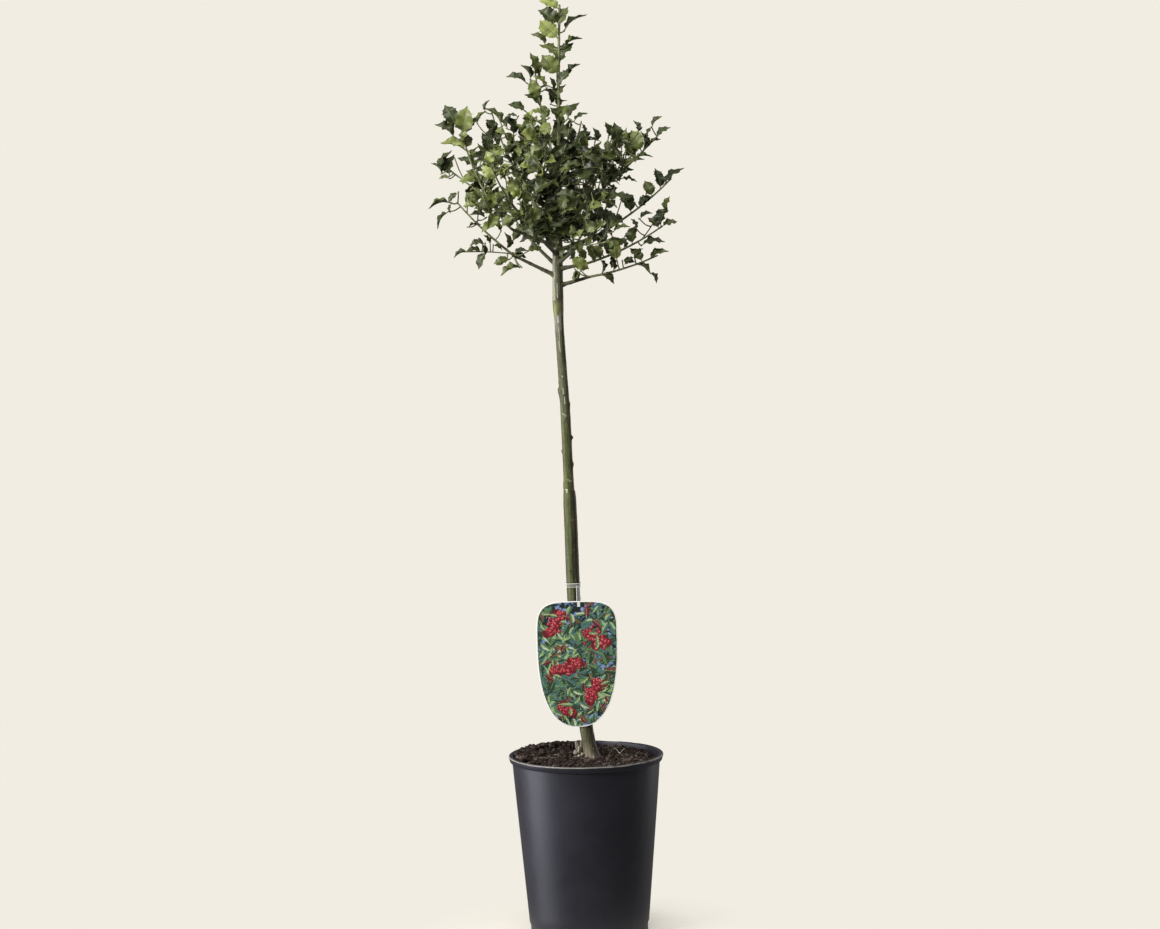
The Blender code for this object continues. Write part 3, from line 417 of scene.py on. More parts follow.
TRUNK_PATCHES = (
    (0.6162, 0.6185, 238, 12, 2),
    (0.6120, 0.6164, 246, 9, 1),
    (0.6290, 0.6305, 282, 24, 1),
    # Painted highlight: this row and the next five are pale and white patches in a streak down the bark's
    # front-left.
    (0.7195, 0.7212, 262, 22, 1),
    (0.7350, 0.7448, 268, 6, 2),
    (0.7490, 0.7580, 262, 10, 1),
    (0.7735, 0.7755, 262, 9, 2),
    (0.8478, 0.8578, 256, 10, 2),
    (0.8080, 0.8420, 257, 8, 1),
    (0.8820, 0.9020, 266, 6, 1),
    (0.8780, 0.9600, 194, 46, 4),
    # Painted shade: a darker strip down the trunk's right side, away from the key light, above the pruned
    # joint.
    (0.6220, 0.8580, 0, 52, 5),
)

# What lies loose on the soil: how many of each by a seeded rule, the heap of clods at the back left, split
# wood beside the trunk's foot as place and reach, and straws as their ends, thickness and slot.
CRUMB_SEED = 52
PEAT_CRUMBS = 1500
BARK_FLAKES = 90
FINE_STRAWS = 130
WOOD_CHIPS = 22
CHIP_AZIMUTHS = (150, 275)
HEAPED_CLODS = 210
HEAPED_AZIMUTHS = (80, 205)
SPLIT_WOOD = (
    (-0.0125, 0.004, 0.2590, 0.0032, 0.0020, 0.0100),
    (-0.0095, 0.001, 0.2540, 0.0038, 0.0022, 0.0080),
    (-0.0065, 0.003, 0.2590, 0.0024, 0.0018, 0.0105),
    (-0.0150, -0.001, 0.2515, 0.0036, 0.0024, 0.0044),
    (-0.0050, -0.006, 0.2490, 0.0040, 0.0022, 0.0030),
    (-0.0100, -0.007, 0.2480, 0.0030, 0.0020, 0.0024),
)
LOOSE_STRAWS = (
    (((0.0470, 0.003, 0.2480), (0.0395, 0.004, 0.2560)), 0.0010, 3),
    (((0.0475, 0.003, 0.2480), (0.0545, 0.002, 0.2555)), 0.0010, 2),
    (((0.0335, -0.020, 0.2540), (0.0265, -0.084, 0.2505)), 0.0005, 2),
)

# The label and its strap.
LABEL_CENTRE_X = -0.0092
LABEL_PLANE_Y = -0.0097
LABEL_TOP = 0.4640
LABEL_HEIGHT = 0.1750
LABEL_WIDTH = 0.1120
LABEL_THICKNESS = 0.0008
LABEL_CORNER_POWER = 4.0
LABEL_FOOT_POWER = 2.5
LABEL_SHOULDER = 0.30
LABEL_BORDER = 0.0013
PRINT_DEPTH = 0.00005
PRINT_STEP = 0.0000002
PRINT_SEED = 19
SPRIG_LEAVES = 6
BERRY_SHADES = 8

# The print's sprigs as how many, how far a leaf reaches, and pairs of slots for its light and dark halves;
# its bunches as place across and down, turn, length, width and how many berries.
PRINT_SPRIGS = (
    (56, 0.019, ((3, 2), (2, 2), (8, 2), (3, 8), (10, 2), (8, 8))),
    (34, 0.014, ((4, 3), (3, 2), (4, 2), (9, 3), (4, 8), (10, 6), (8, 2))),
)
BERRY_BUNCHES = (
    (-0.030, 0.030, 65, 0.018, 0.0110, 84),
    (0.026, 0.052, -35, 0.019, 0.0120, 96),
    (-0.016, 0.092, 15, 0.021, 0.0105, 92),
    (0.022, 0.124, 60, 0.016, 0.0110, 76),
    (-0.016, 0.150, -25, 0.012, 0.0090, 44),
)
STRAP_X = -0.0060
STRAP_WIDTH = 0.0048
STRAP_TOP = 0.4880
STRAP_LOOP_HALF = 0.0108
STRAP_LOOP_POWER = 4.0
TAB_HEIGHTS = (0.4562, 0.4632)

# Plain base colours of the leaves' upper faces, from the shaded inside to the young tips. The steps from
# shade to light paint shade and light into the colour, mixed with random variation; young is the young
# leaves' own yellower green.
LEAF_TONES = {
    "shade": (0.017, 0.022, 0.008),
    "dark": (0.036, 0.048, 0.014),
    "mid": (0.076, 0.094, 0.024),
    "light": (0.132, 0.160, 0.040),
    "young": (0.215, 0.250, 0.068),
}
TONE_NAMES = tuple(LEAF_TONES)
PRINT_INKS = {
    "print_dark": (0.022, 0.052, 0.030),
    "print_green": (0.085, 0.160, 0.070),
    "print_lime": (0.270, 0.380, 0.170),
    "print_red": (0.480, 0.045, 0.060),
    "print_deep_red": (0.130, 0.012, 0.018),
    "print_glint": (0.720, 0.420, 0.400),
    "print_teal": (0.060, 0.130, 0.120),
    "print_pale": (0.420, 0.500, 0.330),
    "print_brown": (0.150, 0.060, 0.045),
}

# The colour that the leaves' undersides lean towards, and the card's relief as a noise, depth and strength.
UNDERSIDE = (0.100, 0.115, 0.060)
CARD_RELIEF = ((900, 2), 0.00003, 0.4)

# Plain growth by its material: base colour, then the roughness where it isn't the usual one.
GROWTH_COLOURS = {
    "leaf_rib": ((0.140, 0.165, 0.060),),
    "leaf_edge": ((0.170, 0.175, 0.085),),
    "petiole": ((0.130, 0.150, 0.060),),
    "bud": ((0.120, 0.115, 0.045),),
    # The pale bark and the white scar colours serve real scars and also the trunk's painted highlight
    # streak.
    "pale_bark_and_highlight": ((0.280, 0.285, 0.215), 0.50),
    "white_scar_and_highlight": ((0.420, 0.430, 0.340), 0.50),
    "cream_bark": ((0.270, 0.265, 0.185),),
}

# Bark by its material: colours by height, then the relief's depth where it isn't the usual one.
BARK_COLOURS = {
    "trunk_bark": ((
        (0.2460, (0.150, 0.124, 0.088)), (0.2560, (0.135, 0.116, 0.078)), (0.2680, (0.082, 0.078, 0.044)),
        (0.3200, (0.064, 0.067, 0.030)), (0.5000, (0.060, 0.068, 0.026)), (0.6100, (0.074, 0.083, 0.028)),
        (0.6900, (0.080, 0.087, 0.032)), (0.7250, (0.092, 0.096, 0.048)), (0.8360, (0.088, 0.092, 0.046)),
        (0.8400, (0.190, 0.186, 0.150)), (0.8570, (0.180, 0.176, 0.140)), (0.8610, (0.180, 0.178, 0.078)),
        (0.8740, (0.150, 0.150, 0.064)), (0.8790, (0.084, 0.086, 0.052)), (0.9700, (0.076, 0.080, 0.044)),
        (1.0900, (0.060, 0.070, 0.028)),
    ),),
    # The old leader's bark: darker for its own age and as painted shade on the trunk's right side below the
    # joint.
    "old_bark_and_shade": ((
        (0.2400, (0.050, 0.040, 0.028)), (0.2900, (0.026, 0.023, 0.014)), (0.6200, (0.030, 0.028, 0.017)),
    ),),
    # Painted shade for the trunk's right side above the pruned joint.
    "painted_shade_bark": (((0.6200, (0.040, 0.042, 0.014)), (0.8600, (0.042, 0.044, 0.020))),),
    "bough_bark": ((
        (0.8900, (0.085, 0.086, 0.052)), (0.9500, (0.070, 0.072, 0.042)), (1.1000, (0.066, 0.074, 0.036)),
    ), 0.0002),
}

# Soil and wood by its material: dark and light grains, then the roughness where it isn't the usual one.
SOIL_COLOURS = {
    "soil": ((0.017, 0.011, 0.009), (0.086, 0.064, 0.055)),
    "bark_chip": ((0.060, 0.043, 0.036), (0.200, 0.165, 0.145)),
    "straw": ((0.160, 0.135, 0.105), (0.330, 0.290, 0.240), 0.8),
    "wood_chip": ((0.260, 0.228, 0.188), (0.500, 0.460, 0.405), 0.8),
}
# strap_edge is the fainter white of the painted highlight along the film's edges.
STRAP_OPACITY = {"strap_film": 0.08, "strap_edge": 0.32, "strap_tab": 0.62}

# The studio: what the camera sees all round, how strongly the rest lights the plant, and each light's
# name, place, target, size, power and colour.
BACKDROP = (0.887, 0.846, 0.760)
SURROUND_STRENGTH = 0.190
STUDIO_LIGHTS = (
    ("key", (-2.4, -1.9, 2.1), (0, 0, 0.85), (1.5, 1.2), 150, (1.0, 0.985, 0.95)),
    ("top", (0.3, -1.3, 3.5), (0, 0, 1.0), (1.4, 1.4), 60, (1.0, 0.99, 0.95)),
    ("left_band", (-2.0, -0.2, 0.16), (0, 0, 0.09), (1.3, 1.2), 34, (0.97, 0.97, 1.0)),
    ("right_edge", (1.5, 1.0, 0.5), (0, 0, 0.2), (0.3, 1.2), 6, (1.0, 0.98, 0.95)),
)


def smooth_between(rows, at):
    """The values that rows give at that first column, eased by a monotone cubic through the rows."""
    last = len(rows) - 1
    index = max(0, min(last - 1, sum(row[0] <= at for row in rows) - 1))
    (x0, *low), (x1, *high) = rows[index], rows[index + 1]
    run = x1 - x0
    part = max(0.0, min(1.0, (at - x0) / run))
    square, cube = part * part, part * part * part
    values = []
    for column, (a, b) in enumerate(zip(low, high), start=1):
        slope = (b - a) / run
        ends = [slope, slope]
        for end, beside in enumerate((index - 1, index + 1)):
            if 0 <= beside < last:
                width = rows[beside + 1][0] - rows[beside][0]
                near = (rows[beside + 1][column] - rows[beside][column]) / width
                ends[end] = 2 * near * slope / (near + slope) if near * slope > 0 else 0.0
        values.append(
            a * (2 * cube - 3 * square + 1)
            + ends[0] * run * (cube - 2 * square + part)
            + b * (3 * square - 2 * cube)
            + ends[1] * run * (cube - square)
        )
    return values


def trunk_centre(height):
    """The trunk's centre at that height."""
    return Vector((*smooth_between(TRUNK_LINE, height), height))


def trunk_radius(height):
    """The trunk's radius at that height."""
    return smooth_between(TRUNK_GIRTH, height)[0]


def heading(azimuth, rise):
    """The unit vector at that azimuth and rise above the level, both in degrees."""
    level = math.cos(math.radians(rise))
    turn = math.radians(azimuth)
    return Vector((math.cos(turn) * level, math.sin(turn) * level, math.sin(math.radians(rise))))


def limb_points(start, azimuth, rises, length, steps):
    """Points along a limb whose rise turns evenly from its foot to its tip."""
    points = [start.copy()]
    for i in range(steps):
        rise = rises[0] + (rises[1] - rises[0]) * (i + 0.5) / steps
        points.append(points[-1] + heading(azimuth, rise) * (length / steps))
    return points


def length_of(points):
    """The length of a polyline."""
    return sum((b - a).length for a, b in zip(points, points[1:]))


def point_along(points, share):
    """The point and the unit tangent at that share of a polyline of equal steps."""
    place = max(0.0, min(1.0, share)) * (len(points) - 1)
    index = min(int(place), len(points) - 2)
    step = points[index + 1] - points[index]
    return points[index] + step * (place - index), step.normalized()


def side_of(tangent, turn):
    """The unit vector square to the tangent, turned about it by that many degrees."""
    reference = Vector((0, 0, 1)) if abs(tangent.z) < 0.9 else Vector((1, 0, 0))
    across = tangent.cross(reference).normalized()
    up = across.cross(tangent)
    angle = math.radians(turn)
    return across * math.cos(angle) + up * math.sin(angle)


def ring(centre, across, over, radius, sides):
    """Points evenly round a centre, in the plane of two unit vectors."""
    turns = [TAU * k / sides for k in range(sides)]
    return [centre + (across * math.cos(turn) + over * math.sin(turn)) * radius for turn in turns]


def ring_faces(rows, sides, start=0):
    """Quads between closed rings that follow each other."""
    faces = []
    for i in range(rows - 1):
        for k in range(sides):
            a, b = start + i * sides + k, start + i * sides + (k + 1) % sides
            faces.append((a, b, b + sides, a + sides))
    return faces


def tube_faces(rows, sides):
    """The faces of a closed tube of rings, both ends flat."""
    last = (rows - 1) * sides
    return [*ring_faces(rows, sides), tuple(reversed(range(sides))), tuple(range(last, last + sides))]


def pointed_faces(rows, sides):
    """The faces of a closed tube of rings whose last one is drawn to the vertex after it."""
    last, tip = (rows - 1) * sides, rows * sides
    spokes = [(last + k, last + (k + 1) % sides, tip) for k in range(sides)]
    return [*ring_faces(rows, sides), tuple(reversed(range(sides))), *spokes]


def tube_parts(points, radii, sides):
    """Vertices and faces of a closed tube through the points."""
    vertices = []
    tangents = [(b - a).normalized() for a, b in zip(points, points[1:])]
    normal = side_of(tangents[0], 0)
    for i, (point, radius) in enumerate(zip(points, radii)):
        before, after = tangents[max(0, i - 1)], tangents[min(i, len(tangents) - 1)]
        tangent = (before + after).normalized()
        normal = (normal - tangent * normal.dot(tangent)).normalized()
        vertices += ring(point, normal, tangent.cross(normal), radius, sides)
    return vertices, tube_faces(len(points), sides)


def tapered(foot, tip, count):
    """Radii that fall evenly from foot to tip."""
    return [foot + (tip - foot) * i / (count - 1) for i in range(count)]


def pot_wall_radius(height):
    """The outer radius of the pot's tapering wall at that height."""
    part = (height - POT_FOOT_HEIGHT) / (POT_HEIGHT - POT_FOOT_HEIGHT)
    return POT_WALL_FOOT_RADIUS + (POT_WALL_TOP_RADIUS - POT_WALL_FOOT_RADIUS) * part


def soil_edge_height(azimuth):
    """The height of the soil where it meets the pot's wall."""
    swing = SOIL_EDGE_SWING * math.cos(azimuth - SOIL_HIGH_AZIMUTH)
    return POT_HEIGHT - SOIL_EDGE_DROP + swing


def trunk_rings():
    """Points and radii of the trunk from its flat foot to its tip."""
    lowest, highest = TRUNK_LINE[0][0], TRUNK_LINE[-1][0]
    regular = [lowest + (highest - lowest) * i / TRUNK_RINGS for i in range(TRUNK_RINGS + 1)]
    knots = [height for height, _ in TRUNK_GIRTH[1:-1]]
    least = (highest - lowest) / TRUNK_RINGS / 2
    heights = [h for h in regular if all(abs(h - k) > least for k in knots)] + knots
    heights.sort()
    return [trunk_centre(height) for height in heights], [trunk_radius(height) for height in heights]


def bough_points(row):
    """Points along a bough from the trunk's centre to its tip."""
    _, height, azimuth, rise_foot, rise_tip, length = row
    steps = max(2, round(length / BOUGH_STEP))
    return limb_points(trunk_centre(height), azimuth, (rise_foot, rise_tip), length, steps)


def stem_shoots(start, spec):
    """The stem of a mass and its strong side shoots, each as its points, its radii at both ends and the
    share of it that is bare."""
    azimuth, rise_foot, rise_tip, length, bare, forks = spec
    steps = max(3, round(length / STEM_STEP))
    stem = limb_points(start, azimuth, (rise_foot, rise_tip), length, steps)
    shoots = [(stem, STEM_FOOT_RADIUS, STEM_TIP_RADIUS, bare)]
    for share, turn, fork_foot, fork_tip, fork_length in forks:
        root, _ = point_along(stem, share)
        count = max(2, round(fork_length / STEM_STEP))
        fork = limb_points(root, turn, (fork_foot, fork_tip), fork_length, count)
        shoots.append((fork, TWIG_FOOT_SHARE * STEM_FOOT_RADIUS, TWIG_TIP_RADIUS, 0))
    return shoots


def mass_plan():
    """Every mass in the order they are grown: its name, its stem with the side shoots, and the
    points of the limb that carries it."""
    plan = []
    trunk = trunk_rings()[0]
    for name, points in (*((row[0], bough_points(row)) for row in BOUGHS), ("leader", trunk[-2:])):
        facing = (points[-1] - points[-2]).normalized()
        plan.append((name, stem_shoots(points[-1] + facing * GAP, MASSES[name]), points))
    stem = plan[-1][1][0][0]
    for i, point in enumerate(stem):
        point.x += LEADER_SWAY * (i / (len(stem) - 1)) ** 2
    return plan


def dense_points(points, step=0.002):
    """Points at most that step apart along a polyline, as an array."""
    dense = []
    for a, b in zip(points, points[1:]):
        count = max(1, math.ceil((b - a).length / step))
        dense += [a.lerp(b, i / count) for i in range(count)]
    return np.array([tuple(p) for p in dense + [points[-1]]])


class Space:
    """What each mass may fill: the points nearer to its own shoots than to any other's, clear of the
    trunk and of the boughs."""

    def __init__(self, plan):
        self.shoots = [np.concatenate([dense_points(shoot[0]) for shoot in row[1]]) for row in plan]
        points, radii = trunk_rings()
        limbs = [dense_points(points)]
        reach = [np.interp(limbs[0][:, 2], [point.z for point in points], radii)]
        for row in BOUGHS:
            limbs.append(dense_points(bough_points(row)))
            reach.append(np.linspace(BOUGH_FOOT_RADIUS, BOUGH_TIP_RADIUS, len(limbs[-1])))
        self.limbs, self.limb_reach = np.concatenate(limbs), np.concatenate(reach)

    @staticmethod
    def away(samples, points):
        """The distance from each sample to each of the points."""
        return np.linalg.norm(samples[:, None, :] - points[None, :, :], axis=2)

    def holds(self, mass, samples):
        """Whether every sample lies in that mass's space."""
        own = self.away(samples, self.shoots[mass]).min(axis=1)
        for points in self.shoots[:mass] + self.shoots[mass + 1:]:
            if (self.away(samples, points).min(axis=1) - own < 2 * SPACE_MARGIN).any():
                return False
        return bool((self.away(samples, self.limbs) - self.limb_reach[None, :] > LIMB_MARGIN).all())


def grow_twigs(rng, shoots, scale=1.0):
    """Side twigs that leave the shoots at a steady divergence and turn up towards the light. Each
    starts slim enough to lie inside its shoot. Finer twigs are the same at a smaller scale."""
    twigs = []
    for points, foot_radius, tip_radius, bare in shoots:
        length = length_of(points)
        turn = rng.uniform(0, 360)
        place = TWIG_FIRST * scale + length * bare + rng.uniform(0, TWIG_PITCH * scale / 2)
        while place < length - TWIG_CLEAR_OF_TIP * scale:
            root, tangent = point_along(points, place / length)
            out = side_of(tangent, turn)
            spread = math.radians(TWIG_SPREAD + rng.uniform(-TWIG_SPREAD_SWAY, TWIG_SPREAD_SWAY))
            aim = tangent * math.cos(spread) + out * math.sin(spread)
            reach = TWIG_LENGTH * scale * (TWIG_LENGTH_AT_FOOT - TWIG_LENGTH_LOST * place / length)
            reach *= rng.uniform(*TWIG_LENGTH_SWAY)
            ends = [root]
            for _ in range(TWIG_STEPS):
                ends.append(ends[-1] + aim * (reach / TWIG_STEPS))
                aim = (aim + Vector((0, 0, TWIG_LIFT / TWIG_STEPS))).normalized()
            here = foot_radius + (tip_radius - foot_radius) * place / length
            twigs.append((ends, here * TWIG_FOOT_SHARE, TWIG_TIP_RADIUS, 0))
            turn += DIVERGENCE + rng.uniform(-DIVERGENCE_SWAY, DIVERGENCE_SWAY)
            place += TWIG_PITCH * scale * rng.uniform(*TWIG_PITCH_SWAY)
    return twigs


def leaf_frame(rng, root, tangent, turn, opening):
    """A leaf's direction, its upper normal and its width axis, the upper face turned to the shoot's
    tip and the sky."""
    direction = tangent * math.cos(opening) + side_of(tangent, turn) * math.sin(opening)
    sway = Vector((rng.uniform(-1, 1), rng.uniform(-1, 1), rng.uniform(-1, 1)))
    facing = tangent * LEAF_AHEAD + LEAF_LIGHT + sway * LEAF_SWAY
    normal = (facing - direction * facing.dot(direction)).normalized()
    return root, direction, normal, direction.cross(normal)


def grow_leaves(rng, shoot, sizes=LEAF_SIZES):
    """Places for leaves along one shoot at a steady divergence, closer and more upright at its tip.
    Each place gives a few tries, every one turned on a little round the shoot."""
    points, bare = shoot[0], shoot[3]
    length = length_of(points)
    turn = rng.uniform(0, 360)
    place = length * bare + LEAF_FIRST * rng.uniform(*LEAF_FIRST_SWAY)
    places = []
    while place < length + LEAF_PITCH:
        share = min(1.0, place / length)
        inside = min(1.0, (length - LEAF_SHORT_OF_TIP) / length)
        root, tangent = point_along(points, min(share, inside))
        size = rng.uniform(*sizes) * (1.0 - LEAF_TIP_SHRINK * share ** 4)
        tries = []
        for attempt in range(LEAF_TRIES):
            opening = LEAF_OPEN + (LEAF_OPEN_AT_TIP - LEAF_OPEN) * share ** 3
            opening = math.radians(opening + rng.uniform(-LEAF_OPEN_SWAY, LEAF_OPEN_SWAY))
            frame_here = leaf_frame(rng, root, tangent, turn + attempt * LEAF_TRY_TURN, opening)
            tries.append((frame_here, size, share))
        places.append(tries)
        turn += DIVERGENCE + rng.uniform(-DIVERGENCE_SWAY, DIVERGENCE_SWAY)
        crowd = 1.0 if share < LEAF_CROWD_FROM else LEAF_CROWD
        place += LEAF_PITCH * crowd * rng.uniform(*LEAF_PITCH_SWAY)
    return places


def leaf_corners(frame_here, size):
    """Root, left, tip and right corners of an arched leaf, then the top of its midrib."""
    root, direction, normal, across = frame_here
    length, half = LEAF_LENGTH * size, LEAF_WIDTH * size / 2
    middle = root + direction * (length * LEAF_WIDEST) + normal * (LEAF_ARCH * size)
    return [
        root - direction * LEAF_ROOT_SINK,
        middle + across * half,
        root + direction * length - normal * (LEAF_DROOP * size),
        middle - across * half,
        middle + normal * LEAF_THICKNESS,
    ]


LEAF_FACES = ((0, 1, 4), (1, 2, 4), (2, 3, 4), (3, 0, 4), (0, 3, 1), (3, 2, 1))


def leaf_samples(corners):
    """Points over a leaf, for the test of its mass's space. The root itself stays out of it, because
    it is sunk in the twig."""
    root, left, tip, right, upper = corners
    samples = [left, tip, right, upper]
    for a, b in ((root, left), (root, right), (root, upper)):
        samples += [a.lerp(b, part) for part in (0.25, 0.5, 0.75)]
    for a, b in ((left, tip), (right, tip), (upper, tip), (upper, left), (upper, right)):
        samples += [a.lerp(b, part) for part in (0.33, 0.67)]
    for a in (left, right):
        samples += [(root + a + upper) / 3, (tip + a + upper) / 3]
    return np.array([tuple(p) for p in samples])


def solid_tree(parts):
    """A search tree over a solid's faces, to find what crosses it."""
    vertices, faces = parts
    return BVHTree.FromPolygons([tuple(v) for v in vertices], faces)


def shoot_parts(shoot):
    """Vertices and faces of one shoot's tube."""
    points, foot, tip = shoot[:3]
    return tube_parts(points, tapered(foot, tip, len(points)), TWIG_SIDES)


class Mass:
    """One mass as it grows: its shoots, its leaves, and search trees over all of them."""

    def __init__(self, index, shoots, space):
        self.index, self.space = index, space
        self.shoots = list(shoots)
        self.strong = len(shoots)
        self.wood = [solid_tree(shoot_parts(shoot)) for shoot in shoots]
        self.leaves, self.trees, self.dropped = [], [], set()

    def add_twigs(self, twigs, crossings=2):
        """Adds each twig that keeps to the space and crosses no more wood than it springs from."""
        for twig in twigs:
            samples = dense_points([twig[0][0].lerp(twig[0][1], 0.25), *twig[0][1:]])
            tree = solid_tree(shoot_parts(twig))
            crossed = sum(bool(tree.overlap(other)) for other in self.wood)
            if crossed < crossings and self.space.holds(self.index, samples):
                self.shoots.append(twig)
                self.wood.append(tree)

    def add_leaves(self, rng, numbers, sizes=LEAF_SIZES, only=None):
        """Adds leaves along those shoots, each where it is clear of the rest and only() allows it."""
        for number in numbers:
            others = self.wood[:number] + self.wood[number + 1:]
            for tries in grow_leaves(rng, self.shoots[number], sizes):
                if only and not only(rng, tries[0][0][0]):
                    continue
                for frame_here, size, share in tries:
                    corners = leaf_corners(frame_here, size)
                    tree = solid_tree((corners, LEAF_FACES))
                    if any(tree.overlap(other) for other in others + self.trees):
                        continue
                    if self.space.holds(self.index, leaf_samples(corners)):
                        self.leaves.append((number, share, frame_here, size, None))
                        self.trees.append(tree)
                        break

    def open_up(self):
        """Leaves out the side twigs and the leaves that show outside the crown's core or in a gap."""
        for number in range(self.strong, len(self.shoots)):
            if not in_core(self.shoots[number][0][-1]):
                self.dropped.add(number)
        self.keep(lambda leaf: leaf[0] not in self.dropped and in_core(leaf_middle(leaf)))

    def keep(self, wanted):
        """Keeps only the wanted leaves."""
        kept = [number for number, leaf in enumerate(self.leaves) if wanted(leaf)]
        self.leaves = [self.leaves[number] for number in kept]
        self.trees = [self.trees[number] for number in kept]

    def grow_finer(self, rng):
        """Rounds of finer twigs and leaves in the crown's dense middle."""
        for _ in range(FINE_ROUNDS):
            older = [n for n in range(len(self.shoots)) if n not in self.dropped]
            first = len(self.shoots)
            twigs = grow_twigs(rng, [self.shoots[number] for number in older], FINE_TWIG_SCALE)
            self.add_twigs([twig for twig in twigs if in_dense_middle(twig[0][-1])])
            self.add_leaves(rng, range(first, len(self.shoots)), FINE_LEAF_SIZES, may_fill)
            self.add_leaves(rng, older, FINE_LEAF_SIZES, may_fill)


def in_dense_middle(point):
    """Whether a point lies where the photograph's crown is dense and dark."""
    for middle, reach in DENSE_PLACES:
        away = point - Vector(middle)
        if sum((away[k] / reach[k]) ** 2 for k in range(3)) < 1:
            return True
    return False


def may_fill(rng, point):
    """Whether a finer leaf may grow at a point: more often in the crown's dense middle."""
    kept = FINE_KEPT_INSIDE if in_dense_middle(point) else FINE_KEPT_OUTSIDE
    return rng.random() < kept and in_core(point)


def seen_place(point):
    """Where a point shows at the trunk's depth, as x and z."""
    near = CAMERA_PLACE.y / (CAMERA_PLACE.y - point.y)
    return point.x * near, CAMERA_PLACE.z + (point.z - CAMERA_PLACE.z) * near


def at_depth(seen, depth):
    """The point at that depth that shows at that place."""
    far = (CAMERA_PLACE.y - depth) / CAMERA_PLACE.y
    return Vector((seen[0] * far, depth, CAMERA_PLACE.z + (seen[1] - CAMERA_PLACE.z) * far))


def leaf_middle(leaf):
    """The middle of a leaf's length."""
    return leaf[2][0] + leaf[2][1] * (LEAF_LENGTH * leaf[3] / 2)


def in_core(point):
    """Whether a point shows inside the crown's dense core and in none of the gaps of sky."""
    x, z = seen_place(point)
    if any(math.hypot(x - gap_x, z - gap_z) < reach for gap_x, gap_z, reach in SKY_GAPS):
        return False
    inside = False
    for (ax, az), (bx, bz) in zip(CROWN_CORE, CROWN_CORE[1:] + CROWN_CORE[:1]):
        if (az > z) != (bz > z) and x < ax + (bx - ax) * (z - az) / (bz - az):
            inside = not inside
    return inside


def carrier_points(masses):
    """Rows for points along every kept shoot: where it shows, its depth, its mass, shoot and share."""
    rows = []
    for mass in masses:
        for number, shoot in enumerate(mass.shoots):
            if number in mass.dropped:
                continue
            count = max(4, round(length_of(shoot[0]) / CARRIER_STEP))
            for i in range(count + 1):
                point, _ = point_along(shoot[0], i / count)
                rows.append((*seen_place(point), point.y, mass.index, number, i / count))
    return np.array(rows)


def cover_rows(rng):
    """Rows like those of the placed leaves, scattered over the shaded places, in dark tones of painted
    shade.
    """
    rows = []
    for count, middle_x, middle_z, wide, high in SHADED_PLACES:
        for _ in range(count):
            turn, away = rng.uniform(0, TAU), math.sqrt(rng.random())
            x, z = middle_x + wide * away * math.cos(turn), middle_z + high * away * math.sin(turn)
            aim, length = rng.uniform(-SHADED_DIP, math.pi + SHADED_DIP), rng.uniform(*SHADED_LENGTHS)
            tip = (x + math.cos(aim) * length, z + math.sin(aim) * length)
            rows.append((x, z, *tip, rng.uniform(*SHADED_SHOWN), rng.choice("sddm")))
    return rows


def placed_frame(root, tip, shown, size):
    """The frame of a leaf from root to tip that shows that share of its width to the front. It aims a
    little above its tip, because the blade droops."""
    for _ in range(2):
        direction = (tip - root).normalized()
        front = Vector((0, -1, 0))
        face = (front - direction * front.dot(direction)).normalized()
        aside = direction.cross(face)
        turns = (math.acos(shown), -math.acos(shown))
        normals = [face * math.cos(turn) + aside * math.sin(turn) for turn in turns]
        normal = max(normals, key=lambda each: each.z)
        tip = tip + normal * (LEAF_DROOP * size * PLACED_DROOP_SHARE)
    return root, direction, normal, direction.cross(normal)


def place_leaf(rng, masses, carriers, row, behind):
    """Sets one placed leaf on the shoot that shows nearest to its foot, on a spur if it stands off it.
    behind is how much a shoot's depth counts against it."""
    foot, tip = row[0:2], row[2:4]
    away = np.hypot(carriers[:, 0] - foot[0], carriers[:, 1] - foot[1])
    above = np.maximum(0, carriers[:, 1] - foot[1] + 0.3 * away)
    best = int(np.argmin(away + 0.6 * above + behind * np.maximum(0, carriers[:, 2] + 0.01)))
    if away[best] > SPUR_LONGEST:
        return
    mass, number, share = masses[int(carriers[best, 3])], int(carriers[best, 4]), carriers[best, 5]
    root, _ = point_along(mass.shoots[number][0], share)
    if away[best] > SPUR_FROM:
        end = at_depth(foot, root.y + away[best] * rng.uniform(*SPUR_SLANT))
        bend = root.lerp(end, 0.5) - Vector((0, 0, SPUR_SAG * away[best]))
        mass.shoots.append(([root, bend, end], SPUR_RADIUS, TWIG_TIP_RADIUS, 0))
        root, number, share = end, len(mass.shoots) - 1, 1.0
    length = math.hypot(tip[0] - foot[0], tip[1] - foot[1])
    point = at_depth(tip, root.y + length * rng.uniform(-PLACED_LEAN, PLACED_LEAN))
    size = (point - root).length / PLACED_LEAF_LENGTH
    size = max(PLACED_LEAF_SIZES[0], min(PLACED_LEAF_SIZES[1], size))
    leaf = (number, share, placed_frame(root, point, row[4], size), size, PLACED_TONES[row[5]])
    mass.leaves.append(leaf)
    return leaf


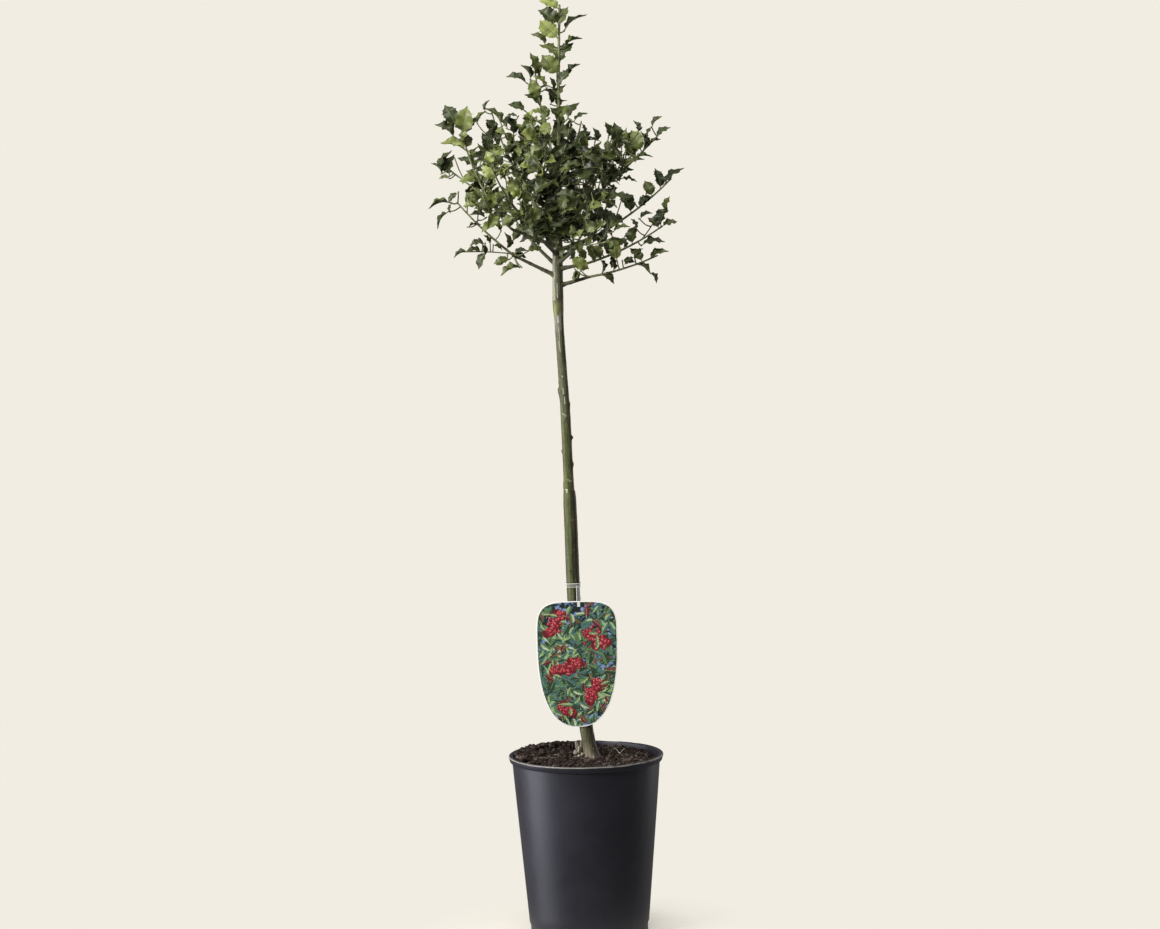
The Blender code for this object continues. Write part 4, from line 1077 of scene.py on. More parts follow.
def place_leaves(masses):
    """The placed leaves, with the rule's own leaves cleared round them, then those of the shade."""
    rng = random.Random(PLACED_SEED)
    carriers = carrier_points(masses)
    outer = []
    for *ends, shown, tone in PLACED_LEAVES:
        ends = [part / 1000 for part in ends]
        row = (*ends, min(1.0, shown / 10 + PLACED_WIDER), tone)
        leaf = place_leaf(rng, masses, carriers, row, OUTER_BEHIND)
        if leaf:
            middle = leaf_middle(leaf)
            outer.append((*seen_place(middle), middle.y))
    outer = np.array(outer)

    def clear(leaf):
        if leaf[4] is not None:
            return True
        middle = leaf_middle(leaf)
        x, z = seen_place(middle)
        close = np.hypot(outer[:, 0] - x, outer[:, 1] - z) < CLEARED_ROUND
        return not (close & (abs(outer[:, 2] - middle.y) < CLEARED_DEPTH)).any()

    for mass in masses:
        mass.leaves = [leaf for leaf in mass.leaves if clear(leaf)]
    for row in cover_rows(rng):
        place_leaf(rng, masses, carriers, row, SHADED_BEHIND)


def grow_mass(index, shoots, space):
    """The source's twigs and leaves of one mass, opened up as the photograph shows it, then rounds of
    finer ones within the same space."""
    rng = random.Random(RULE_SEED + index)
    mass = Mass(index, shoots, space)
    mass.add_twigs(grow_twigs(rng, shoots))
    mass.add_leaves(rng, range(len(mass.shoots)))
    fine = random.Random(FINE_SEED + index)
    mass.open_up()
    mass.grow_finer(fine)
    return mass


class Nodes:
    """A new material's shader nodes, with short ways to add and link them."""

    def __init__(self, name, colour, roughness, **sockets):
        self.material = bpy.data.materials.new(name)
        self.material.use_nodes = True
        self.tree = self.material.node_tree
        self.shader = self.tree.nodes["Principled BSDF"]
        self.shader.inputs["Base Color"].default_value = (*colour, 1.0)
        self.shader.inputs["Roughness"].default_value = roughness
        for label, value in sockets.items():
            self.shader.inputs[label.replace("_", " ")].default_value = value
        self.place = self.tree.nodes.new("ShaderNodeTexCoord").outputs["Object"]

    def link(self, source, target):
        """Links an output to a socket, or sets the socket to a plain value."""
        if isinstance(source, bpy.types.NodeSocket):
            self.tree.links.new(source, target)
        else:
            target.default_value = (*source, 1.0) if target.type == "RGBA" else source

    def add(self, kind, inputs, **settings):
        """The outputs of a new node with these settings, and with its inputs linked or set."""
        made = self.tree.nodes.new("ShaderNode" + kind)
        for label, setting in settings.items():
            setattr(made, label, setting)
        for socket, value in inputs.items():
            self.link(value, made.inputs[socket])
        return made.outputs

    def stretched(self, scale):
        """Object coordinates scaled by that much on each axis."""
        return self.add("Mapping", {"Vector": self.place, "Scale": scale})["Vector"]

    def noise(self, scale, detail=4.0, roughness=0.55, vector=None, distortion=0.0):
        """Fractal noise, as one value per point."""
        inputs = {"Vector": vector or self.place, "Scale": scale, "Detail": detail}
        return self.add("TexNoise", {**inputs, "Roughness": roughness, "Distortion": distortion})["Fac"]

    def cells(self, scale, vector=None):
        """The distance to the nearest of scattered points."""
        return self.add("TexVoronoi", {"Vector": vector or self.place, "Scale": scale})["Distance"]

    def ramp(self, value, *stops):
        """Colours or greys that follow a value, as (position, colour) stops."""
        made = self.tree.nodes.new("ShaderNodeValToRGB")
        elements = made.color_ramp.elements
        elements[0].position, elements[1].position = stops[0][0], stops[-1][0]
        for position, _ in stops[1:-1]:
            elements.new(position)
        for element, (_, colour) in zip(elements, stops):
            shade = colour if isinstance(colour, tuple) else (colour,) * 3
            element.color = (*shade, 1.0)
        self.link(value, made.inputs["Fac"])
        return made.outputs["Color"]

    def mix(self, factor, a, b, kind="MIX"):
        """Two colours mixed by a factor."""
        return self.add("Mix", {"Factor": factor, 6: a, 7: b}, data_type="RGBA", blend_type=kind)[2]

    def maths(self, operation, a, b):
        """One sum of two values."""
        return self.add("Math", {0: a, 1: b}, operation=operation)[0]

    def height(self):
        """The height above the pot's underside."""
        return self.add("SeparateXYZ", {0: self.place})["Z"]

    def span(self, value, low, high):
        """The value spread from 0 at low to 1 at high."""
        return self.add("MapRange", {"Value": value, "From Min": low, "From Max": high})["Result"]

    def colour(self, source):
        """Links the base colour."""
        self.link(source, self.shader.inputs["Base Color"])

    def rough(self, value, low, high):
        """Roughness that follows a value between low and high."""
        spread = self.add("MapRange", {"Value": value, "To Min": low, "To Max": high})
        self.link(spread["Result"], self.shader.inputs["Roughness"])

    def bump(self, height, depth, strength=1.0):
        """Fine relief of that depth in metres."""
        inputs = {"Strength": strength, "Distance": depth, "Height": height}
        normal = self.shader.inputs["Normal"]
        if normal.is_linked:
            inputs["Normal"] = normal.links[0].from_socket
        self.link(self.add("Bump", inputs)["Normal"], normal)


def shaded(colour, factor):
    """The colour made that much brighter or darker."""
    return tuple(min(1.0, part * factor) for part in colour)


def mottled(name, colour, roughness, specular, grain, stops, relief, gloss=None):
    """A material whose colour follows a noise: stops pair a value of it with a colour, or with how
    bright the base colour is there. relief is a noise, its depth and its strength, and gloss is a
    noise with the lowest and the highest roughness."""
    nodes = Nodes(name, colour, roughness, Specular_IOR_Level=specular)
    shades = [(at, shade if isinstance(shade, tuple) else shaded(colour, shade)) for at, shade in stops]
    nodes.colour(nodes.ramp(nodes.noise(*grain), *shades))
    if gloss:
        nodes.rough(nodes.noise(*gloss[0]), *gloss[1:])
    nodes.bump(nodes.noise(*relief[0]), *relief[1:])
    return nodes.material


def leaf_material(name, colour):
    """The leathery, glossy upper face of a leaf."""
    stops = ((0.32, 0.72), (0.52, 1.0), (0.72, 1.28))
    relief, gloss = ((900, 4, 0.6), 0.00012, 0.6), ((700, 3), 0.33, 0.50)
    return mottled(name, colour, 0.40, 0.34, (210, 3, 0.6), stops, relief, gloss)


def underside_material(name, colour):
    """The paler, dull underside of a leaf."""
    relief = ((1100, 3), 0.00010, 0.5)
    return mottled(name, colour, 0.62, 0.25, (260, 3, 0.6), ((0.35, 0.80), (0.65, 1.18)), relief)


def plain_growth_material(name, colour, roughness=0.55):
    """A midrib, margin, petiole, bud or scar: one colour with fine mottling."""
    relief = ((1500, 3), 0.00008, 0.5)
    return mottled(name, colour, roughness, 0.3, (600, 3), ((0.3, 0.75), (0.7, 1.2)), relief)


def twig_material():
    """Twig bark: olive green and grey, with pale specks."""
    nodes = Nodes("twig_bark", (0.12, 0.13, 0.07), 0.60, Specular_IOR_Level=0.3)
    patches = nodes.noise(140, 4, 0.6)
    base = nodes.ramp(patches, (0.30, (0.060, 0.062, 0.034)), (0.50, (0.145, 0.158, 0.072)),
                      (0.72, (0.260, 0.275, 0.145)))
    specks = nodes.ramp(nodes.cells(900), (0.10, 0.0), (0.22, 1.0))
    nodes.colour(nodes.mix(specks, (0.30, 0.28, 0.20), base))
    nodes.rough(patches, 0.50, 0.75)
    nodes.bump(nodes.noise(1300, 4), 0.00018, 0.7)
    return nodes.material


def bark_material(name, stops, relief=0.0004):
    """Smooth holly bark whose colour follows the height, with upright streaks, dark flecks and pale
    corky dots."""
    nodes = Nodes(name, stops[0][1], 0.45, Specular_IOR_Level=0.24)
    low, high = stops[0][0], stops[-1][0]
    ragged = nodes.maths("MULTIPLY", nodes.maths("SUBTRACT", nodes.noise(60, 3), 0.5), 0.014)
    share = nodes.span(nodes.maths("ADD", nodes.height(), ragged), low, high)
    base = nodes.ramp(share, *[((at - low) / (high - low), colour) for at, colour in stops])
    darker, lighter = (nodes.mix(1.0, base, (factor,) * 3, "MULTIPLY") for factor in (0.62, 1.40))
    streaks = nodes.noise(1.0, 5, 0.62, nodes.stretched((420, 420, 34)))
    streaked = nodes.mix(nodes.ramp(streaks, (0.38, 0.0), (0.66, 1.0)), darker, lighter)
    spots = nodes.noise(1.0, 4, 0.7, nodes.stretched((620, 620, 160)))
    flecked = nodes.mix(nodes.ramp(spots, (0.62, 0.0), (0.70, 0.75)), streaked, (0.035, 0.030, 0.018))
    dots = nodes.ramp(nodes.cells(1.0, nodes.stretched((340, 340, 240))), (0.07, 1.0), (0.13, 0.0))
    nodes.colour(nodes.mix(dots, flecked, (0.36, 0.33, 0.23)))
    nodes.rough(streaks, 0.34, 0.62)
    nodes.bump(streaks, relief, 0.6)
    nodes.bump(nodes.noise(900, 4, 0.6), 0.00015, 0.6)
    return nodes.material


def pot_material():
    """Satin black plastic with faint flow lines, scuffs and a little dust."""
    nodes = Nodes("pot_plastic", (0.014, 0.014, 0.018), 0.40, Specular_IOR_Level=0.5)
    nodes.shader.inputs["Specular Tint"].default_value = (0.86, 0.86, 1.0, 1.0)
    cloud = nodes.noise(11, 4, 0.55)
    base = nodes.ramp(cloud, (0.30, (0.0095, 0.0095, 0.0135)), (0.70, (0.0175, 0.0175, 0.0245)))
    scuffs = nodes.noise(1.0, 5, 0.65, nodes.stretched((60, 60, 420)), 0.6)
    marked = nodes.mix(nodes.ramp(scuffs, (0.66, 0.0), (0.76, 0.25)), base, (0.055, 0.056, 0.062))
    dust = nodes.ramp(nodes.noise(520, 4, 0.7), (0.66, 0.0), (0.78, 0.22))
    nodes.colour(nodes.mix(dust, marked, (0.090, 0.082, 0.070)))
    nodes.rough(nodes.noise(46, 5, 0.6), 0.34, 0.50)
    nodes.bump(nodes.noise(1.0, 3, 0.5, nodes.stretched((30, 30, 3))), 0.00040, 0.6)
    nodes.bump(nodes.noise(1400, 3, 0.6), 0.00006, 0.5)
    return nodes.material


def worn_and_highlit_edge_material():
    """The lip's rubbed, dusty edge, paler than the rest of the pot, which also paints a highlight along the
    rim.
    """
    stops = ((0.30, (0.070, 0.067, 0.066)), (0.48, (0.180, 0.170, 0.160)), (0.70, (0.260, 0.245, 0.225)))
    relief = ((1200, 3, 0.6), 0.00006, 0.5)
    return mottled("pot_edge_wear_and_highlight", (0.150, 0.142, 0.135), 0.55, 0.4, (70, 4, 0.65), stops, relief)


def soil_material(name, dark, light, roughness=0.95):
    """Peat, bark or wood: dark and light grains."""
    stops, relief = ((0.36, 0.55), (0.52, 1.0), (0.66, light)), ((900, 5, 0.7), 0.0006, 0.8)
    return mottled(name, dark, roughness, 0.15, (420, 6, 0.72), stops, relief)


def label_material(name, colour, spread, scale=160):
    """Printed or plain plastic card with a slight sheen."""
    stops = ((0.35, 1 - spread), (0.65, 1 + spread))
    return mottled(name, colour, 0.32, 0.45, (scale, 4, 0.6), stops, CARD_RELIEF, ((90, 3), 0.28, 0.40))


def sky_material():
    """The print's ground: blue patches between dark ones."""
    nodes = Nodes("print_ground", (0.10, 0.20, 0.45), 0.32, Specular_IOR_Level=0.45)
    blue = nodes.ramp(nodes.noise(300, 3), (0.35, (0.09, 0.17, 0.34)), (0.65, (0.26, 0.36, 0.56)))
    patches = nodes.ramp(nodes.noise(130, 3, 0.55), (0.49, 0.0), (0.56, 1.0))
    nodes.colour(nodes.mix(patches, (0.012, 0.020, 0.018), blue))
    nodes.bump(nodes.noise(*CARD_RELIEF[0]), *CARD_RELIEF[1:])
    return nodes.material


def strap_material(name, opacity):
    """Thin clear plastic film."""
    nodes = Nodes(name, (0.86, 0.86, 0.84), 0.18, Alpha=opacity)
    nodes.bump(nodes.noise(500, 2), 0.00004, 0.4)
    return nodes.material


class Builder:
    """Gathers vertices, faces and their material slots into one joined mesh."""

    def __init__(self):
        self.blocks, self.faces, self.slots, self.count = [], [], [], 0

    def add(self, vertices, faces, slots):
        """Adds one piece. slots is a number for all of its faces or one for each."""
        block = np.array([tuple(v) for v in vertices]) if not isinstance(vertices, np.ndarray) else vertices
        start = self.count
        self.blocks.append(block)
        self.faces += [tuple(index + start for index in face) for face in faces]
        self.slots += [slots] * len(faces) if isinstance(slots, int) else list(slots)
        self.count += len(block)

    def finish(self, name, materials, sharp=55):
        """The object, smooth shaded with sharp edges kept."""
        mesh = bpy.data.meshes.new(name)
        mesh.from_pydata(np.concatenate(self.blocks).tolist(), [], self.faces)
        for made in materials:
            mesh.materials.append(made)
        mesh.polygons.foreach_set("material_index", self.slots)
        mesh.shade_smooth()
        mesh.set_sharp_from_angle(angle=math.radians(sharp))
        mesh.update()
        obj = bpy.data.objects.new(name, mesh)
        bpy.context.scene.collection.objects.link(obj)
        return obj


def curve_point(points, place):
    """The point at that place, counted in steps, of a smooth curve through the points."""
    index = max(0, min(int(place), len(points) - 2))
    t = place - index
    a, b = points[max(0, index - 1)], points[index]
    c, d = points[index + 1], points[min(len(points) - 1, index + 2)]
    square, cube = t * t, t * t * t
    return (b * 2 + (c - a) * t + (a * 2 - b * 5 + c * 4 - d) * square + (b * 3 - a - c * 3 + d) * cube) / 2


class Limb:
    """A shoot or bough as a smooth curve, with its radius along it. The curve may start before its
    points, or follow a line of its own."""

    def __init__(self, points, foot, tip, before=(), line=None):
        self.line = line or [*before, *points]
        self.first = len(before)
        self.steps = len(points) - 1
        self.length = length_of(points)
        self.foot, self.tip = foot, tip

    def at(self, share):
        """The smooth curve's point at that share, which may run back into what comes before."""
        return curve_point(self.line, max(0.0, self.first + share * self.steps))

    def radius(self, share):
        """The radius at that share."""
        return self.foot + (self.tip - self.foot) * max(0.0, min(1.0, share))

    def swelling(self, share, places, rise, reach):
        """How much thicker it is at that share than its plain radius, for the places near by."""
        near = sum(math.exp(-((share - place) * self.length / reach) ** 2) for place in places)
        return rise * min(1.0, near)


def swept(limb, start, spacing, sides, width, relief, pointed=False):
    """Vertices and faces of a tube along a limb from that share to its tip. width gives its radius at
    a share, and relief what is added to it at a point."""
    count = max(3, round(limb.length * (1.0 - start) / spacing) + 1)
    shares = [start + (1.0 - start) * i / (count - 1) for i in range(count)]
    centres = [limb.at(share) for share in shares]
    normal = side_of((centres[1] - centres[0]).normalized(), 0)
    vertices = []
    for i, centre in enumerate(centres):
        tangent = (centres[min(i + 1, count - 1)] - centres[max(i - 1, 0)]).normalized()
        normal = (normal - tangent * normal.dot(tangent)).normalized()
        across = tangent.cross(normal)
        radius = width(shares[i])
        for k in range(sides):
            angle = TAU * k / sides
            out = normal * math.cos(angle) + across * math.sin(angle)
            vertices.append(centre + out * (radius + relief(centre + out * radius)))
    if not pointed:
        return vertices, tube_faces(count, sides)
    vertices.append(centres[-1] + (centres[-1] - centres[-2]).normalized() * width(1.0) * 1.2)
    return vertices, pointed_faces(count, sides)


def bud_parts(root, aim, length, radius, sides=6):
    """A pointed bud, widest below its middle."""
    across = side_of(aim, 0)
    over = aim.cross(across)
    vertices = []
    for along, wide in BUD_PROFILE:
        vertices += ring(root + aim * (length * along), across, over, radius * wide, sides)
    vertices.append(root + aim * length)
    return vertices, pointed_faces(len(BUD_PROFILE), sides)


def blade_rows():
    """Places along the blade and how far its margin reaches there, as a share of its half width, and
    whether a tooth stands there."""
    rows = [(0.0, 1.0, 0), (0.055, 1.0, 0)]
    for number, place in enumerate(TOOTH_PLACES):
        rows.append((place - TOOTH_FLANK, 1.0 - VALLEY_DEPTH * 0.35, 0))
        rows.append((place, 1.0, 1))
        rows.append((place + TOOTH_FLANK * 0.7, 1.0 - VALLEY_DEPTH * 0.45, 0))
        if number + 1 < len(TOOTH_PLACES):
            middle = (place + TOOTH_PLACES[number + 1]) / 2 + 0.01
            rows.append((middle, 1.0 - VALLEY_DEPTH, 0))
    rows += [(0.91, 0.86, 0), (0.965, 0.80, 0), (1.0, 0.0, 0)]
    return rows


BLADE_ROWS = blade_rows()
BLADE_COLUMNS = (-1.0, -0.55, 0.0, 0.0, 0.55, 1.0)


def leaf_curve(size):
    """The slope and the bend of a leaf along its length, over the source's arch and droop."""
    arch, droop = LEAF_ARCH * size, LEAF_DROOP * size
    bend = (-droop - arch / LEAF_WIDEST) / (1 - LEAF_WIDEST)
    return -droop - bend, bend


def leaf_blade(rng, size, spiny=1.0):
    """One leaf's own shape: upper and lower vertices in (along, across, up), with spined and wavy
    margins, a fold along the midrib and the source's arch."""
    length = LEAF_LENGTH * BLADE_LENGTH_SHARE * size
    half = LEAF_WIDTH * BLADE_WIDTH_SHARE * size / 2 * rng.uniform(0.85, 1.12)
    slope, bend = leaf_curve(size)
    fold = rng.uniform(*FOLD)
    wave = MARGIN_WAVE * size * rng.uniform(0.55, 1.25)
    phase = (rng.uniform(0, TAU), rng.uniform(0, TAU))
    sway, twist = rng.uniform(-0.05, 0.05), rng.uniform(-0.35, 0.35)
    skew = (rng.uniform(-0.035, 0.035), rng.uniform(-0.035, 0.035))
    spines = [[rng.uniform(0.6, 1.15) for _ in BLADE_ROWS] for _ in range(2)]
    upper = []
    for number, (place, reach, tooth) in enumerate(BLADE_ROWS):
        belly = math.sin(math.pi * min(1.0, place) ** 0.92) ** 0.50 if 0 < place < 1 else 0.0
        wide = max(half * belly, RIB_HALF * 1.6) if place < 1 else 0.0
        for column, across in enumerate(BLADE_COLUMNS):
            side = 0 if column < 3 else 1
            along, margin = place, abs(across) == 1.0
            out = abs(across) * wide * (reach if margin else 0.5 + 0.5 * reach)
            if column in RIB_COLUMNS:
                out = RIB_HALF * (1.0 - 0.65 * place) if place < 1 else 0.0
            rise = fold * out + 0.0004 * math.sin(math.pi * min(1.0, out / half))
            swing = math.sin(TAU * 2.15 * place + phase[side])
            rise += wave * abs(across) ** 2 * swing * min(1.0, place * 5) * (1 - place ** 6)
            if margin and 0 < place < 1:
                along += skew[side] * math.sin(math.pi * place)
                if tooth:
                    spine = TOOTH_REACH * spiny * size * spines[side][number]
                    out += spine
                    along += spine * 0.55 / length
                    rise += spine * 0.45 * swing
            run = BLADE_FROM + (1 - BLADE_FROM) * along
            turn = twist * place * place
            y = out if side else -out
            upper.append((
                run * length,
                y * math.cos(turn) - rise * math.sin(turn) + sway * length * place * place,
                slope * run + bend * run * run + rise * math.cos(turn) + y * math.sin(turn),
            ))
    upper = np.array(upper)
    columns = len(BLADE_COLUMNS)
    upper[-columns:] = upper[-3:-1].mean(axis=0) + (LEAF_TIP_SPINE * size, 0, -0.0004)
    lower = upper.copy()
    lower[:, 2] -= BLADE_THICKNESS
    rib = [i for i in range(len(upper)) if i % columns in RIB_COLUMNS]
    upper[rib, 2] -= RIB_SINK
    lower[rib, 2] -= RIB_BULGE
    return upper, lower


def blade_faces():
    """Faces of a blade over its upper and lower vertices, with a slot each: upper face, underside,
    midrib and margin. The last row is one point."""
    rows, columns = len(BLADE_ROWS), len(BLADE_COLUMNS)
    lift = rows * columns
    faces, slots = [], []
    for i in range(rows - 1):
        for k in range(columns - 1):
            a, b = i * columns + k, i * columns + k + 1
            ends = (b + columns,) if i == rows - 2 else (b + columns, a + columns)
            faces.append((a, b, *ends))
            faces.append((b + lift, a + lift, *(end + lift for end in reversed(ends))))
            slots += [2, 2] if k == RIB_COLUMNS[0] else [0, 1]
        for k in (0, columns - 1):
            a, d = i * columns + k, (i + 1) * columns + k
            faces.append((a + lift, a, d, d + lift) if k == 0 else (a, a + lift, d + lift, d))
            slots.append(3)
    faces.append(tuple(range(columns - 1, -1, -1)) + tuple(lift + k for k in range(columns)))
    return faces, [*slots, 3]


BLADE_FACES, BLADE_SLOTS = blade_faces()


def rolled(frame_here, roll, nod):
    """A leaf's frame turned about the leaf's own length, and nodded about its width."""
    root, direction, normal, across = frame_here
    turn = Matrix.Rotation(roll, 3, direction)
    normal, across = turn @ normal, turn @ across
    bow = Matrix.Rotation(nod, 3, across)
    return root, bow @ direction, bow @ normal, across


def place_blade(frame_here, shift, blade):
    """A blade's vertices in the plant's frame."""
    root, direction, normal, across = (np.array(part) for part in frame_here)
    upper, lower = blade
    local = np.concatenate([upper, lower])
    spots = root + np.array(shift)
    return spots + local[:, :1] * direction + local[:, 1:2] * across + local[:, 2:] * normal


def inside_box(vertices):
    """Whether every vertex lies in the box of the solids."""
    low, high = np.array(CAD_BOX[0]), np.array(CAD_BOX[1])
    return bool((vertices >= low).all() and (vertices <= high).all())


def spray_tone(rng, middle):
    """How bright a spray's leaves are painted, from 0 for the shaded inside to 1 for the sunlit outside:
    painted shade inside and away from the key light, painted light outside and towards it, with random
    sway.
    """
    trunk = trunk_centre(min(middle.z, TRUNK_LINE[-1][0]))
    out = Vector((middle.x - trunk.x, middle.y - trunk.y))
    # Painted light: brighter towards the key light on the left, the front and the top, and towards the
    # outside.
    lit = -1.3 * out.x / 0.17 - 0.7 * out.y / 0.13 + 0.9 * (middle.z - 1.0) / 0.25
    far = out.length / 0.15
    return 0.32 + 0.12 * lit + 0.14 * far + rng.uniform(-SPRAY_TONE_SWAY, SPRAY_TONE_SWAY)


def make_foliage(plan, materials):
    """Every mass as fine growth: twigs with buds and petioles in one piece, and leaves in one piece
    for each tone."""
    space = Space(plan)
    masses = [grow_mass(index, row[1], space) for index, row in enumerate(plan)]
    place_leaves(masses)
    wood, tones = Builder(), {name: Builder() for name in TONE_NAMES}
    for mass, (name, _, carrier) in zip(masses, plan):
        dress_mass(mass, name, carrier, wood, tones)
    names = [f"foliage_{row[0]}" for row in plan]
    pieces = []
    for tone, builder in tones.items():
        slots = [materials[key] for key in (f"leaf_{tone}", f"under_{tone}", "leaf_rib", "leaf_edge")]
        pieces.append(builder.finish(f"leaves_{tone}", slots, 60))
    twigs = wood.finish("twigs", [materials["twig"], materials["petiole"], materials["bud"]], 50)
    for piece in (*pieces, twigs):
        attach(piece, "root")
        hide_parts(*names)


def dress_mass(mass, name, carrier, wood, tones):
    """The bark and the leaves of one mass. The leader's stem carries on from the trunk's tip."""
    looks = random.Random(LOOKS_SEED + mass.index)
    shoot_leaves = {}
    for leaf in mass.leaves:
        shoot_leaves.setdefault(leaf[0], []).append(leaf)
    for number, (points, foot, tip, _) in enumerate(mass.shoots):
        if number in mass.dropped:
            continue
        if name == "leader" and number == 0:
            foot, tip = TRUNK_GIRTH[-1][1], LEADER_TIP_RADIUS
        limb = Limb(points, max(foot, tip * 1.15), tip, () if number else carrier[:-1])
        leaves = shoot_leaves.get(number, [])
        add_shoot(wood, limb, number, leaves, looks)
        # The tone step paints each spray's shade or light into its leaves' colour, lighter at the young
        # tips.
        brightness = spray_tone(looks, limb.at(0.6))
        for _, share, frame_here, size, fixed in leaves:
            shift = limb.at(share) - point_along(points, share)[0]
            level = brightness + 0.16 * share ** 2 + looks.uniform(-LEAF_TONE_SWAY, LEAF_TONE_SWAY)
            step = max(0, min(len(TONE_NAMES) - 1, int(level * len(TONE_NAMES))))
            spiny = PLACED_SPINES
            if fixed is None:
                fixed, spiny = step, 1.0
                size *= RULE_LEAF_SHARE
                roll, nod = looks.gauss(0, ROLL_SWAY), looks.gauss(0, NOD_SWAY)
                frame_here = rolled(frame_here, math.radians(roll), math.radians(nod))
            vertices = place_blade(frame_here, shift, leaf_blade(looks, size, spiny))
            while not inside_box(vertices) and size > LEAF_LEAST_SIZE:
                size *= LEAF_SHRINK_STEP
                vertices = place_blade(frame_here, shift, leaf_blade(looks, size, spiny))
            tones[TONE_NAMES[fixed]].add(vertices, BLADE_FACES, BLADE_SLOTS)
            add_petiole(wood, frame_here, shift, size)


def add_shoot(wood, limb, number, leaves, rng):
    """One shoot's bark with a swelling at each leaf, a collar at its foot and a bud at its tip."""
    nodes = [leaf[1] for leaf in leaves]
    start = 0.0 if number else -STEM_RUN_BACK / limb.length
    collar = SHOOT_COLLAR if number else 0.0

    def width(share):
        foot = collar * math.exp(-share * limb.length / SHOOT_COLLAR_REACH)
        return limb.radius(share) * (1 + limb.swelling(share, nodes, *SHOOT_SWELLING) + foot)

    def relief(point):
        return 0.00010 * noise.noise(point * 700)

    wood.add(*swept(limb, start, 0.0022, 7 if number else 9, width, relief, True), 0)
    tip = limb.at(1.0)
    aim = (tip - limb.at(0.94)).normalized()
    wood.add(*bud_parts(tip - aim * 0.0004, aim, rng.uniform(0.0026, 0.0036), limb.tip * 1.25), 2)
    for node in nodes:
        if rng.random() < SIDE_BUD_SHARE:
            ahead = (limb.at(min(1.0, node + 0.02)) - limb.at(max(0.0, node - 0.02))).normalized()
            lean = (ahead + side_of(ahead, rng.uniform(0, 360)) * 0.9).normalized()
            root = limb.at(node) + lean * limb.radius(node) * 0.6
            wood.add(*bud_parts(root, lean, SIDE_BUD_LENGTH, SIDE_BUD_RADIUS, 5), 2)


def add_petiole(wood, frame_here, shift, size):
    """The stalk from the shoot to the foot of the blade."""
    root, direction, normal, _ = frame_here
    slope, bend = leaf_curve(size)
    points, radii = [], []
    for part in (-0.03, 0.04, 0.11, 0.19, 0.27):
        rise = slope * max(0.0, part) + bend * part * part - 0.00026
        points.append(root + shift + direction * (LEAF_LENGTH * size * part) + normal * rise)
        radii.append(PETIOLE_RADIUS * size * (1.30 - 2.4 * max(0.0, part)))
    wood.add(*tube_parts(points, radii, 5), 1)


def away_from(azimuth, degrees):
    """The angle between two azimuths, from -180 to 180 degrees."""
    return (degrees - azimuth + 180) % 360 - 180


def trunk_scars():
    """Small leaf scars up the trunk by a seeded rule, then the ones that the photograph shows, as
    height, azimuth, how far each stands out and its half height."""
    rng = random.Random(SCAR_SEED)
    scars = []
    height, turn = 0.29, 40.0
    while height < TRUNK_LINE[-1][0] - 0.018:
        scars.append((height, turn % 360, rng.uniform(0.0004, 0.0009), rng.uniform(0.0016, 0.0028)))
        height += rng.uniform(0.017, 0.033)
        turn += DIVERGENCE + rng.uniform(-25, 25)
    return (*scars, *TRUNK_SCARS)


def trunk_relief(height, angle, radius, scars):
    """How far the bark stands out from the trunk's plain girth: scars, ridges and wrinkles, the seam
    of the old leader up to its pruned joint, and the roots that flare at the soil."""
    degrees = math.degrees(angle)
    extra = 0.0
    for level, azimuth, rise, spread in scars:
        off = math.radians(away_from(azimuth, degrees)) * radius
        drop = (height - level) / (spread * (0.6 if height > level else 1.7))
        extra += rise * math.exp(-(off / spread) ** 2 - drop ** 2)
    spot = (math.cos(angle) * radius, math.sin(angle) * radius)
    extra += 0.00020 * noise.fractal(Vector((spot[0] * 330, spot[1] * 330, height * 38)), 0.7, 2.1, 4)
    extra += 0.00014 * noise.fractal(Vector((spot[0] * 90, spot[1] * 90, height * 420)), 0.8, 2.0, 3)
    extra += 0.00065 * noise.noise(Vector((spot[0] * 60, spot[1] * 60, height * 14)))
    seam = min(1.0, max(0.0, (PRUNED_JOINT + 0.001 - height) / 0.002))
    for azimuth in OLD_LEADER_SIDES:
        extra -= seam * SEAM_DEPTH * math.exp(-(away_from(azimuth, degrees) / 9.0) ** 2)
    if on_old_leader(height, degrees):
        extra += OLD_LEADER_RISE
    flare = math.exp(-(height - TRUNK_FOOT) / 0.0075)
    for azimuth in ROOT_AZIMUTHS:
        extra += flare * ROOT_RISE * math.exp(-(away_from(azimuth, degrees) / 17.0) ** 2)
    return extra


def on_old_leader(height, degrees):
    """Whether a place on the trunk belongs to the cut-off old leader, its right side below the joint."""
    low, high = OLD_LEADER_SIDES
    return height < PRUNED_JOINT and 0 < (degrees - low) % 360 < high - low


def trunk_slot(height, degrees, ragged):
    """The bark's slot at a place, of TRUNK_SLOTS."""
    for low, high, azimuth, spread, slot in TRUNK_PATCHES:
        if low + ragged * 0.003 < height < high + ragged * 0.003:
            if abs(away_from(azimuth, degrees)) < spread * (1 + 0.35 * ragged):
                return slot
    # The old leader's strip on the right takes the old bark, partly its own colour and partly painted
    # shade.
    return 3 if on_old_leader(height, degrees) else 0


